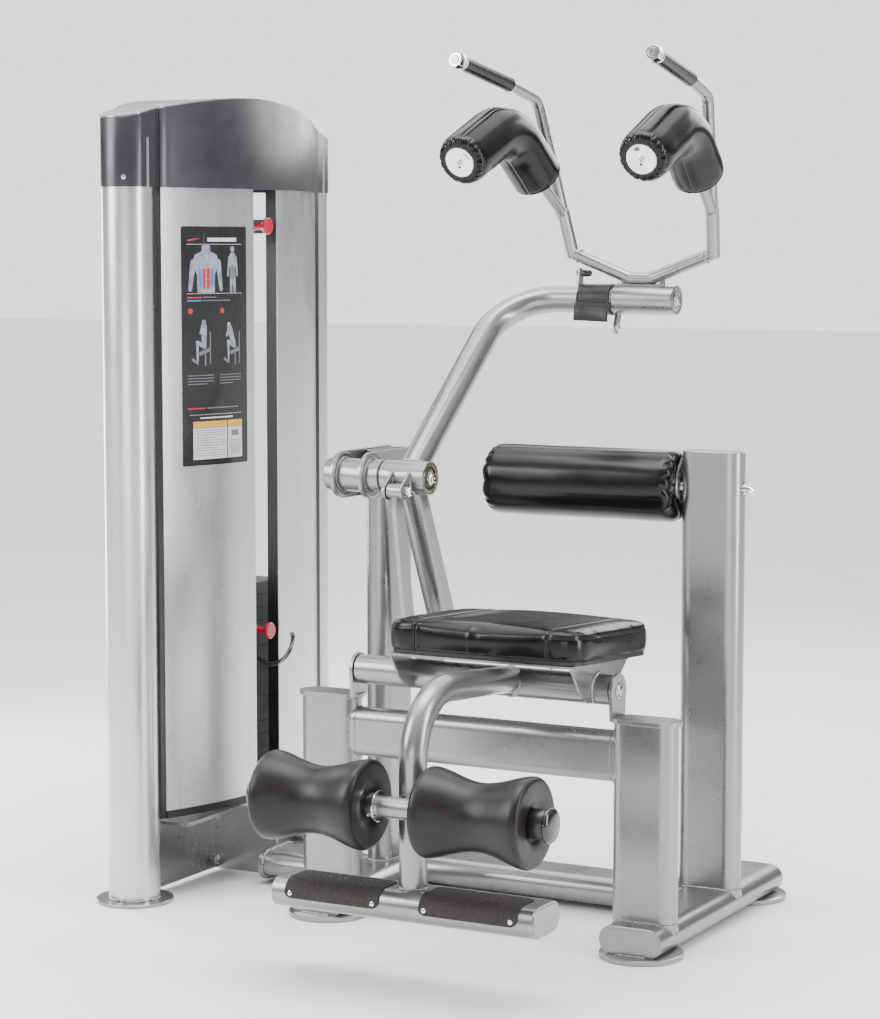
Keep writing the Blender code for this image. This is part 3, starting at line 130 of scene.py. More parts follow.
def make_world():
    """Pale behind the object; what the paint mirrors is a room that darkens towards the floor."""
    world = bpy.data.worlds.new("studio")
    bpy.context.scene.world = world
    world.use_nodes = True
    tree = world.node_tree
    background = tree.nodes["Background"]
    place = tree.nodes.new("ShaderNodeTexCoord").outputs["Generated"]
    split = tree.nodes.new("ShaderNodeSeparateXYZ")
    tree.links.new(place, split.inputs["Vector"])
    ramp = tree.nodes.new("ShaderNodeValToRGB")
    height = tree.nodes.new("ShaderNodeMapRange")
    height.inputs["From Min"].default_value = -1.0
    tree.links.new(split.outputs["Z"], height.inputs["Value"])
    tree.links.new(height.outputs["Result"], ramp.inputs["Fac"])
    stops = [(0.0, 0.30), (0.46, 0.34), (0.53, 0.17), (0.66, 0.36), (0.80, 1.15), (1.0, 1.35)]
    for position, level in stops[1:-1]:
        ramp.color_ramp.elements.new(position)
    for element, (position, level) in zip(ramp.color_ramp.elements, stops):
        element.position = position
        element.color = (level, level * 1.01, level * 1.02, 1)
    seen = tree.nodes.new("ShaderNodeBackground")
    seen.inputs["Color"].default_value = (0.93, 0.93, 0.93, 1)
    seen.inputs["Strength"].default_value = 1.95
    which = tree.nodes.new("ShaderNodeMixShader")
    tree.links.new(tree.nodes.new("ShaderNodeLightPath").outputs["Is Camera Ray"], which.inputs["Fac"])
    tree.links.new(ramp.outputs["Color"], background.inputs["Color"])
    background.inputs["Strength"].default_value = 0.8
    tree.links.new(background.outputs["Background"], which.inputs[1])
    tree.links.new(seen.outputs["Background"], which.inputs[2])
    tree.links.new(which.outputs["Shader"], tree.nodes["World Output"].inputs["Surface"])


def make_studio():
    make_light("key_left", (-3.4, -3.0, 2.7), (1.8, 2.6), 165)
    make_light("top_box", (-0.5, -0.3, 4.0), (2.6, 1.8), 95)
    make_light("right_strip", (2.6, -0.2, 1.7), (0.5, 2.8), 75)
    make_light("left_strip", (-3.2, 0.9, 1.5), (0.5, 2.6), 60)
    make_light("rear_fill", (-0.4, 4.2, 2.9), (3.5, 1.6), 90)
    make_light("front_low", (0.6, -4.4, 0.9), (2.4, 0.5), 26)
    sun = bpy.data.objects.new("overcast", bpy.data.lights.new("overcast", "SUN"))
    sun.data.energy = 2.8
    sun.data.angle = math.radians(85)
    sun.rotation_euler = (math.radians(-16), math.radians(-14), 0)
    bpy.context.scene.collection.objects.link(sun)
    make_world()
    mesh = bpy.data.meshes.new("floor")
    reach = 40.0
    mesh.from_pydata([(-reach, -reach, 0), (reach, -reach, 0), (reach, reach, 0), (-reach, reach, 0)],
                     [], [(0, 1, 2, 3)])
    floor = bpy.data.objects.new("floor", mesh)
    floor.location.z = -0.0005
    bpy.context.scene.collection.objects.link(floor)
    mesh.materials.append(surface("floor_paint", (0.88, 0.88, 0.88), (0.60, 0.72), 0.0,
                                  mottle=(0.6, 0.01), grains=[(40, 0.10, 0.0003)]))


# -------------------------------------------------------------------- materials
def surface(name, colour, roughness, metallic, mottle=(3.0, 0.03), speckle=(900.0, 0.0), grains=(),
            coat=0.0, coat_roughness=0.15, cells=None, stretch=(1, 1, 1), gloss=0.5):
    """Principled material whose colour, gloss and relief come from noise in the object's own space.

    mottle and speckle are (scale, share of the colour); grains are (scale, strength, height);
    cells adds a leather-like Voronoi relief of the same form.
    """
    material = bpy.data.materials.new(name)
    material.use_nodes = True
    tree = material.node_tree
    shader = tree.nodes["Principled BSDF"]
    shader.inputs["Metallic"].default_value = metallic
    shader.inputs["Specular IOR Level"].default_value = gloss
    shader.inputs["Coat Weight"].default_value = coat
    shader.inputs["Coat Roughness"].default_value = coat_roughness
    place = tree.nodes.new("ShaderNodeTexCoord").outputs["Object"]
    mapping = tree.nodes.new("ShaderNodeMapping")
    mapping.inputs["Scale"].default_value = stretch
    tree.links.new(place, mapping.inputs["Vector"])

    def noise_of(scale, detail=3.0):
        node = tree.nodes.new("ShaderNodeTexNoise")
        node.inputs["Scale"].default_value = scale
        node.inputs["Detail"].default_value = detail
        tree.links.new(mapping.outputs["Vector"], node.inputs["Vector"])
        return node.outputs["Fac"]

    def ranged(value, low, high):
        node = tree.nodes.new("ShaderNodeMapRange")
        node.inputs["From Min"].default_value = 0.3
        node.inputs["From Max"].default_value = 0.7
        node.inputs["To Min"].default_value = low
        node.inputs["To Max"].default_value = high
        tree.links.new(value, node.inputs["Value"])
        return node.outputs["Result"]

    def blended(value, first, second):
        node = tree.nodes.new("ShaderNodeMix")
        node.data_type = "RGBA"
        node.inputs["A"].default_value = (*first, 1)
        node.inputs["B"].default_value = (*second, 1)
        tree.links.new(value, node.inputs["Factor"])
        return node

    def scaled(share):
        return [min(1.0, c * (1 + share)) for c in colour]

    mix = blended(ranged(noise_of(mottle[0]), 0, 1), scaled(-mottle[1]), scaled(mottle[1]))
    last = mix.outputs["Result"]
    if speckle[1] > 0:
        fine = blended(ranged(noise_of(speckle[0], 1.0), 0, 1), scaled(-speckle[1]), scaled(speckle[1]))
        both = tree.nodes.new("ShaderNodeMix")
        both.data_type = "RGBA"
        both.inputs["Factor"].default_value = 0.5
        tree.links.new(last, both.inputs["A"])
        tree.links.new(fine.outputs["Result"], both.inputs["B"])
        last = both.outputs["Result"]
    tree.links.new(last, shader.inputs["Base Color"])
    tree.links.new(ranged(noise_of(mottle[0] * 4), *roughness), shader.inputs["Roughness"])

    normal = None
    reliefs = [(noise_of(scale, 2.0), strength, height) for scale, strength, height in grains]
    if cells:
        voronoi = tree.nodes.new("ShaderNodeTexVoronoi")
        voronoi.feature = "DISTANCE_TO_EDGE"
        voronoi.inputs["Scale"].default_value = cells[0]
        tree.links.new(mapping.outputs["Vector"], voronoi.inputs["Vector"])
        reliefs.append((voronoi.outputs["Distance"], cells[1], cells[2]))
    for value, strength, height in reliefs:
        bump = tree.nodes.new("ShaderNodeBump")
        bump.inputs["Strength"].default_value = strength
        bump.inputs["Distance"].default_value = height
        tree.links.new(value, bump.inputs["Height"])
        if normal:
            tree.links.new(normal, bump.inputs["Normal"])
        normal = bump.outputs["Normal"]
    if normal:
        tree.links.new(normal, shader.inputs["Normal"])
    return material


def make_materials():
    return {
        "frame_paint": surface("frame_paint", (0.30, 0.305, 0.295), (0.26, 0.32), 0.86, (5, 0.03),
                               (1400, 0.07), [(1500, 0.05, 0.00003)], 0.30, 0.18),
        "panel_paint": surface("panel_paint", (0.62, 0.635, 0.66), (0.24, 0.32), 0.85, (4, 0.03),
                               (1600, 0.05), [(1800, 0.07, 0.00003)], 0.25, 0.22, stretch=(1, 1, 0.35)),
        "cap_paint": surface("cap_paint", (0.060, 0.059, 0.066), (0.30, 0.40), 0.65, (6, 0.06),
                             (1800, 0.40), [(1500, 0.12, 0.00005)], 0.30, 0.22),
        "vinyl": surface("vinyl", (0.0042, 0.0035, 0.0036), (0.19, 0.24), 0.0, (7, 0.15), (1200, 0.08),
                         [(34, 0.02, 0.0005)], 0.0, 0.25, cells=(1300, 0.05, 0.00004), gloss=0.32),
        "foam": surface("foam", (0.0085, 0.0064, 0.0058), (0.33, 0.42), 0.0, (9, 0.16), (1500, 0.22),
                        [(1600, 0.18, 0.00006), (55, 0.06, 0.0005)], gloss=0.35),
        "leather": surface("leather", (0.008, 0.0065, 0.0063), (0.34, 0.46), 0.0, (30, 0.25), (900, 0.15),
                           [(140, 0.30, 0.0005)], cells=(900, 0.35, 0.00015)),
        "grit": surface("grit", (0.018, 0.013, 0.0115), (0.38, 0.80), 0.0, (60, 0.35), (700, 0.90),
                        [(650, 0.95, 0.0012), (1900, 0.8, 0.0004)]),
        "rubber": surface("rubber", (0.013, 0.0125, 0.0125), (0.26, 0.36), 0.0, (14, 0.15), (900, 0.1),
                          [(1300, 0.16, 0.00006)], 0.10, 0.25),
        "gloss_black": surface("gloss_black", (0.014, 0.013, 0.013), (0.10, 0.16), 0.0, (14, 0.15),
                               (900, 0.1),
                               [(500, 0.04, 0.00004)], 0.5, 0.06),
        "chrome": surface("chrome", (0.84, 0.84, 0.85), (0.05, 0.11), 1.0, (20, 0.02), (900, 0.02),
                          [(400, 0.03, 0.00003)]),
        "steel": surface("steel", (0.52, 0.53, 0.53), (0.22, 0.34), 1.0, (30, 0.06), (700, 0.10),
                         [(900, 0.14, 0.00005)]),
        "brass_zinc": surface("brass_zinc", (0.50, 0.38, 0.19), (0.24, 0.36), 1.0, (60, 0.12), (700, 0.1),
                              [(800, 0.12, 0.00005)]),
        "stack_paint": surface("stack_paint", (0.080, 0.076, 0.080), (0.45, 0.60), 0.25, (12, 0.10),
                               (800, 0.2), [(700, 0.35, 0.0001)]),
        "black_trim": surface("black_trim", (0.010, 0.0095, 0.010), (0.30, 0.42), 0.0, (8, 0.12), (900, 0.1),
                              [(1100, 0.15, 0.00006)]),
        "red_plastic": surface("red_plastic", (0.52, 0.012, 0.045), (0.14, 0.24), 0.0, (30, 0.06),
                               (500, 0.04), [(300, 0.03, 0.0001)], 0.5, 0.08),
        "thread": surface("thread", (0.035, 0.030, 0.029), (0.50, 0.65), 0.0, (200, 0.2), (1500, 0.2),
                          [(2500, 0.5, 0.0001)]),
        "seam": surface("seam", (0.004, 0.0035, 0.0035), (0.45, 0.60), 0.0, (60, 0.2), (1500, 0.2)),
        "weld": surface("weld", (0.36, 0.36, 0.35), (0.22, 0.34), 0.86, (30, 0.08), (900, 0.12),
                        [(600, 0.3, 0.0002)], 0.30, 0.16),
        "placard_black": surface("placard_black", (0.010, 0.010, 0.012), (0.22, 0.30), 0.0, (5, 0.1),
                                 (900, 0.05), [(600, 0.04, 0.00005)], 0.3, 0.1),
        "print_pale": surface("print_pale", (0.62, 0.63, 0.66), (0.35, 0.45), 0.0, (30, 0.10)),
        "print_body": surface("print_body", (0.27, 0.28, 0.36), (0.35, 0.45), 0.0, (60, 0.35)),
        "print_grey": surface("print_grey", (0.15, 0.155, 0.17), (0.35, 0.45), 0.0, (30, 0.10)),
        "print_red": surface("print_red", (0.50, 0.02, 0.03), (0.35, 0.45), 0.0, (30, 0.10)),
        "print_blue": surface("print_blue", (0.04, 0.20, 0.48), (0.35, 0.45), 0.0, (30, 0.10)),
        "print_amber": surface("print_amber", (0.75, 0.40, 0.05), (0.35, 0.45), 0.0, (30, 0.10)),
    }


# --------------------------------------------------------------- mesh building
def piece(name, points, faces, material, body, slot=None, smooth=40, node=None):
    """A mesh piece in the row frame that rides on a CAD body and may stand for a node."""
    mesh = bpy.data.meshes.new(name)
    mesh.from_pydata([tuple(p) for p in points], [], faces)
    bm = bmesh.new()
    bm.from_mesh(mesh)
    bmesh.ops.recalc_face_normals(bm, faces=bm.faces)
    bm.to_mesh(mesh)
    bm.free()
    mesh.shade_smooth()
    mesh.set_sharp_from_angle(angle=math.radians(smooth))
    mesh.materials.append(MATERIALS[material])
    obj = bpy.data.objects.new(name, mesh)
    bpy.context.scene.collection.objects.link(obj)
    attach(obj, body)
    if node:
        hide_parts(node)
    return obj


def merged(name, parts, material, body, slot=None, smooth=40, node=None):
    """Several (points, faces) shapes as one piece."""
    points, faces = [], []
    for part_points, part_faces in parts:
        base = len(points)
        points += part_points
        faces += [tuple(i + base for i in face) for face in part_faces]
    return piece(name, points, faces, material, body, slot, smooth, node)


def skin(rings, closed=False, capped=True):
    """Points and faces of a skin over equal rings."""
    count = len(rings[0])
    points = [Vector(p) for ring in rings for p in ring]
    faces = []
    for ring in range(len(rings) if closed else len(rings) - 1):
        here = ring * count
        there = ((ring + 1) % len(rings)) * count
        for side in range(count):
            nxt = (side + 1) % count
            faces.append((here + side, here + nxt, there + nxt, there + side))
    if not closed and capped:
        faces.append(tuple(reversed(range(count))))
        faces.append(tuple(range(len(points) - count, len(points))))
    return points, faces


def circle(radius, sides=48):
    return [(radius * math.cos(2 * math.pi * i / sides), radius * math.sin(2 * math.pi * i / sides))
            for i in range(sides)]


def oval(wide, thin, arc=14):
    """Flat oval outline: half circles joined by straight sides, with a point where each side starts."""
    reach, start_in = (wide - thin) / 2, 0.0015
    points = []
    for end in (1, -1):
        start = -math.pi / 2 * end
        points.append((end * (reach - start_in), -end * thin / 2))
        for i in range(arc + 1):
            angle = start + math.pi * i / arc
            points.append((end * reach + thin / 2 * math.cos(angle), thin / 2 * math.sin(angle)))
        points.append((end * (reach - start_in), end * thin / 2))
    return points


def bent_path(corners, radius, steps=16):
    """Polyline through the corners with each inner corner turned into an arc."""
    corners = [Vector(corner) for corner in corners]
    path = [corners[0]]
    for before, corner, after in zip(corners, corners[1:], corners[2:]):
        to_before = (before - corner).normalized()
        to_after = (after - corner).normalized()
        half = to_before.angle(to_after) / 2
        centre = corner + (to_before + to_after).normalized() * (radius / math.sin(half))
        start = corner + to_before * (radius / math.tan(half)) - centre
        end = corner + to_after * (radius / math.tan(half)) - centre
        axis = start.cross(end).normalized()
        for i in range(steps + 1):
            path.append(centre + Matrix.Rotation((math.pi - 2 * half) * i / steps, 3, axis) @ start)
    path.append(corners[-1])
    return path


def resampled(points, step, closed=False):
    """The polyline again with points about one step apart."""
    points = [Vector(p) for p in points] + ([Vector(points[0])] if closed else [])
    lengths = [(b - a).length for a, b in zip(points, points[1:])]
    total = sum(lengths)
    count = max(3, round(total / step))
    made, index, before = [], 0, 0.0
    for i in range(count if closed else count + 1):
        want = total * i / count
        while index < len(lengths) - 1 and before + lengths[index] < want:
            before += lengths[index]
            index += 1
        made.append(points[index].lerp(points[index + 1], (want - before) / max(lengths[index], 1e-9)))
    return made


def frames_along(path, side=(1, 0, 0)):
    """(point, across, upward, tangent) at each point of a path, without twist."""
    path = [Vector(p) for p in path]
    across = Vector(side)
    made = []
    for index, point in enumerate(path):
        tangent = (path[min(index + 1, len(path) - 1)] - path[max(index - 1, 0)]).normalized()
        across = across - tangent * across.dot(tangent)
        if across.length < 1e-4:
            across = tangent.orthogonal()
        across.normalize()
        made.append((point, across.copy(), tangent.cross(across), tangent))
    return made


def tube(path, radius, side=(1, 0, 0), sides=40, ease=0.0008):
    """Round tube along a path of places, with eased end edges."""
    path = [at(*p) for p in path]
    rings = []
    for index, (point, across, upward, tangent) in enumerate(frames_along(path, side)):
        shares = [radius]
        if index in (0, len(path) - 1):
            shares = [radius - ease, radius] if index == 0 else [radius, radius - ease]
        for place, share in enumerate(shares):
            shift = 0.0
            if len(shares) == 2 and share == radius:
                shift = ease if index == 0 else -ease
            rings.append([point + tangent * shift + across * u + upward * v for u, v in circle(share, sides)])
    return skin(rings)


def lathe(start, axis, profile, sides=48, closed=False):
    """Turn (distance, radius) pairs about the axis through a place."""
    start = at(*start)
    axis = Vector(axis).normalized()
    across = axis.orthogonal().normalized()
    upward = axis.cross(across)
    rings = [[start + axis * along + (across * math.cos(2 * math.pi * i / sides)
                                      + upward * math.sin(2 * math.pi * i / sides)) * radius
              for i in range(sides)] for along, radius in profile]
    return skin(rings, closed)


def plate(outline, axis, low, high, bevel=0.0008):
    """Flat plate with eased edges; outline pairs follow the two axes other than the given one."""
    centre = Vector((sum(p[0] for p in outline) / len(outline), sum(p[1] for p in outline) / len(outline)))
    rings = []
    for along, inset in ((low, bevel), (low + bevel, 0), (high - bevel, 0), (high, bevel)):
        ring = []
        for pair in outline:
            flat = Vector(pair)
            away = flat - centre
            flat = centre + away * (1 - inset / max(away.length, 1e-6))
            where = {"X": (along, flat.x, flat.y), "Y": (flat.x, along, flat.y), "Z": (flat.x, flat.y, along)}
            ring.append(at(*where[axis]))
        rings.append(ring)
    return skin(rings)


def box_shape(low, high, bevel=0.0008):
    outline = [(low[0], low[1]), (high[0], low[1]), (high[0], high[1]), (low[0], high[1])]
    return plate(outline, "Z", low[2], high[2], bevel)


def rivet(place, axis, radius, tall, sides=24):
    """Low domed head standing on a face."""
    profile = [(0.0, radius), (tall * 0.35, radius)]
    profile += [(tall * (0.35 + 0.65 * math.sin(a)), radius * math.cos(a))
                for a in (math.radians(18 * i) for i in range(1, 5))]
    return lathe(place, axis, profile + [(tall, radius * 0.12)], sides)


def hex_bolt(place, axis, across_flats, tall):
    """Hexagon head with a turned top edge and a recessed centre."""
    corner = across_flats / math.sqrt(3)
    head = lathe(place, axis, [(0.0, corner), (tall * 0.8, corner), (tall, corner * 0.84),
                               (tall, corner * 0.40), (tall * 0.6, corner * 0.34)], 6)
    washer = lathe(place, axis, [(0.0, corner * 1.28), (tall * 0.16, corner * 1.28),
                                 (tall * 0.22, corner * 1.2)], 32)
    return [head, washer]


def bead(line, radius=0.0022, pitch=0.0045, closed=False, side=(0, 0, 1)):
    """Weld bead: a thin tube along a line of places that swells at every ripple."""
    points = resampled([at(*p) for p in line], pitch / 4, closed)
    rings = []
    for index, (point, across, upward, tangent) in enumerate(frames_along(points, side)):
        swell = 0.78 + 0.34 * abs(math.sin(math.pi * index / 4)) + 0.14 * noise.noise(point * 90)
        rings.append([point + across * u + upward * v for u, v in circle(radius * swell, 8)])
    return skin(rings, closed)


def loop_about(place, axis, radius, count=40, start=0.0, end=360.0):
    """Places round a circle about an axis."""
    axis = Vector(axis).normalized()
    across = axis.orthogonal().normalized()
    upward = axis.cross(across)
    return [Vector(place) + (across * math.cos(a) + upward * math.sin(a)) * radius
            for a in (math.radians(start + (end - start) * i / count) for i in range(count))]


def saddle(start, direction, along_radius, main_axis, main_radius, count=48):
    """Places where a round tube leaves a thicker round tube that lies along main_axis."""
    direction = Vector(direction).normalized()
    main = Vector(main_axis).normalized()
    other = main.cross(direction).normalized()
    made = []
    for i in range(count):
        angle = 2 * math.pi * i / count
        sideways = along_radius * math.sin(angle)
        out = math.sqrt(max(main_radius ** 2 - sideways ** 2, 0.0))
        made.append(Vector(start) + direction * out + main * along_radius * math.cos(angle) + other * sideways)
    return made


def oval_tube(node, axis, centre, wide, thin, low, high, body="frame", turned=False, slot="frame_paint",
              name=None):
    """Flat oval tube along an axis with eased ends, standing for a CAD node."""
    ease = 0.0012
    rings = []
    for along, inset in ((low, ease), (low + ease, 0), (high - ease, 0), (high, ease)):
        ring = []
        for u, v in oval(wide - 2 * inset, thin - 2 * inset):
            if turned:
                u, v = -v, u
            u, v = u + centre[0], v + centre[1]
            ring.append(at(*{"X": (along, u, v), "Y": (u, along, v), "Z": (u, v, along)}[axis]))
        rings.append(ring)
    return piece(name or node + "_look", *skin(rings), slot, body, node=node)


def dress(node, material, bevel=0.0009):
    """Keep a CAD node's shape, ease its edges and give it a finished material."""
    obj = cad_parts[node]
    mesh = obj.data
    if "custom_normal" in mesh.attributes:
        mesh.attributes.remove(mesh.attributes["custom_normal"])
    mesh.shade_smooth()
    mesh.materials.clear()
    mesh.materials.append(MATERIALS[material])
    weld = obj.modifiers.new("weld", "WELD")
    weld.merge_threshold = 0.00002
    if bevel:
        ease = obj.modifiers.new("ease", "BEVEL")
        ease.width = bevel
        ease.segments = 2
        ease.limit_method = "ANGLE"
        ease.angle_limit = math.radians(38)
        ease.harden_normals = False
    obj.modifiers.new("normals", "WEIGHTED_NORMAL")
    return obj


def dress_nodes():
    table = {
        "frame_paint": ["pivot_housing", "arm_hub", "arm_lever", "link_bar", "yoke_hub", "seat_bracket",
                        "seat_pivot_tube", "tower_web", "top_crosshead", "right_pivot_bracket",
                        "left_pivot_bracket"],
        "chrome": ["front_guide_rod", "rear_guide_rod", "back_roller_axle", "left_grip_cap",
                   "right_grip_cap"],
        "steel": ["pivot_axle"],
        "stack_paint": ["resting_plates", "lifted_plates", "add_weight"],
        "rubber": ["top_pulley"],
        "red_plastic": ["selector_pin", "add_weight_knob"],
    }
    for material, nodes in table.items():
        for node in nodes:
            dress(node, material)


# ------------------------------------------------------------- frame and welds
def foot_z(x):
    """Height of the top of a base tube at x from its middle."""
    over = max(abs(x) - OVAL_REACH, 0.0)
    return BASE_Z + math.sqrt(max(OVAL_END ** 2 - over ** 2, 0.0))


def post_foot(centre, turned=False):
    """Weld line where a post stands on a base tube."""
    line = []
    for u, v in oval(OVAL_WIDE + 0.001, OVAL_THIN + 0.001):
        if turned:
            u, v = -v, u
        line.append((centre[0] + u, centre[1] + v, foot_z(min(abs(u), 0.0690)) + 0.0006))
    return line


def make_base_looks():
    for label, x, rear in (("right", 0.0, BASE_REAR), ("left", LEFT_X, LEFT_BASE_REAR)):
        node = label + "_base_tube"
        oval_tube(node, "Y", (x, BASE_Z), OVAL_WIDE, OVAL_THIN, BASE_FRONT, rear)
        caps = [plate([(x + u, BASE_Z + v) for u, v in oval(OVAL_WIDE - 0.010, OVAL_THIN - 0.010)], "Y", low,
                      high)
                for low, high in ((BASE_FRONT - 0.0012, BASE_FRONT + 0.001), (rear - 0.001, rear + 0.0012))]
        feet, beads = [], []
        for y, outward in ((BASE_FRONT + 0.058, -1), (rear - 0.040, 1)):
            feet.append(lathe((x, y, 0), (0, 0, 1), [(0.0, FOOT_RADIUS - 0.001), (0.001, FOOT_RADIUS),
                                                     (0.0095, FOOT_RADIUS), (0.0115, FOOT_RADIUS - 0.003)],
                                                     72))
            edge = BASE_FRONT if outward < 0 else rear
            beads.append(bead([(x - 0.034, edge + outward * 0.001, 0.0125),
                               (x + 0.034, edge + outward * 0.001,
                                                                            0.0125)], 0.0026))
            for side in (-1, 1):
                beads.append(bead([(x + side * 0.047, edge, 0.0135),
                                   (x + side * 0.047, edge - outward * 0.030,
                                                                     0.0135)], 0.0024))
        merged(label + "_base_feet", caps + feet, "frame_paint", "frame")
        merged(label + "_foot_welds", beads, "weld", "frame")


def make_post_looks():
    welds = []
    for node, centre, top in (("right_short_post", (0.0, 0.0), SHORT_POST_TOP),
                              ("left_short_post", (LEFT_X, 0.0), SHORT_POST_TOP),
                              ("tall_post", (0.0, TALL_POST_Y), TALL_POST_TOP)):
        oval_tube(node, "Z", centre, OVAL_WIDE, OVAL_THIN, BASE_TOP + GAP, top)
        oval_tube(None, "Z", centre, OVAL_WIDE, OVAL_THIN, BASE_Z, BASE_TOP + GAP, name=node + "_skirt")
        welds.append(bead(post_foot(centre), closed=True))
    oval_tube("arm_post", "Z", (ARM_POST_X, ARM_POST_Y), OVAL_WIDE, OVAL_THIN, BASE_TOP + GAP, ARM_POST_TOP,
              turned=True)
    welds.append(bead([(ARM_POST_X - v, ARM_POST_Y + u, BASE_TOP + 0.001)
                       for u, v in oval(OVAL_WIDE + 0.001, OVAL_THIN + 0.001)], closed=True))
    for x in (0.0, LEFT_X):
        welds.append(bead([(x + u, v, SHORT_POST_TOP - 0.0003) for u, v in oval(OVAL_WIDE + 0.002,
                                                                               OVAL_THIN + 0.002)],
                          0.0019, closed=True))
    half = OVAL_WIDE / 2
    oval_tube("cross_beam", "X", (0.0, BEAM_Z), BEAM_TALL, BEAM_THIN, LEFT_X + half + GAP, -half - GAP,
              turned=True)
    oval_tube("rear_cross_tube", "X", (CROSS_Y, BASE_Z + 0.0015), OVAL_WIDE, OVAL_THIN, LEFT_X + half + GAP,
              -half - GAP)
    oval_tube("tower_link_tube", "X", (TOWER_LINK_Y, BASE_Z + 0.0015), OVAL_WIDE, OVAL_THIN, LINK_FLANGE_X,
              LEFT_X - half - GAP)
    reach = 0.030
    joints = [("cross_beam", (0.0, BEAM_Z), BEAM_TALL, BEAM_THIN, True, LEFT_X, 1),
              ("cross_beam", (0.0, BEAM_Z), BEAM_TALL, BEAM_THIN, True, 0.0, -1),
              ("rear_cross", (CROSS_Y, BASE_Z), OVAL_WIDE, OVAL_THIN - 0.0016, False, LEFT_X, 1),
              ("rear_cross", (CROSS_Y, BASE_Z), OVAL_WIDE, OVAL_THIN - 0.0016, False, 0.0, -1),
              ("tower_link", (TOWER_LINK_Y, BASE_Z), OVAL_WIDE, OVAL_THIN - 0.0016, False, LEFT_X, -1)]
    for index, (label, centre, wide, thin, turned, tube_x, away) in enumerate(joints):
        face = tube_x + away * half
        ends = sorted((face + away * 0.0006, face - away * reach))
        oval_tube(None, "X", centre, wide, thin, *ends, turned=turned, name=f"{label}_end_{index}")
        line = []
        for u, v in oval(wide + 0.001, thin + 0.001):
            y, z = (centre[0] - v, centre[1] + u) if turned else (centre[0] + u, centre[1] + v)
            over = min(abs(y if turned else z - BASE_Z), OVAL_END)
            line.append((face - away * (OVAL_END - math.sqrt(OVAL_END ** 2 - over ** 2)), y, z))
        welds.append(bead(line, closed=True, side=(1, 0, 0)))
    merged("frame_joint_welds", welds, "weld", "frame")


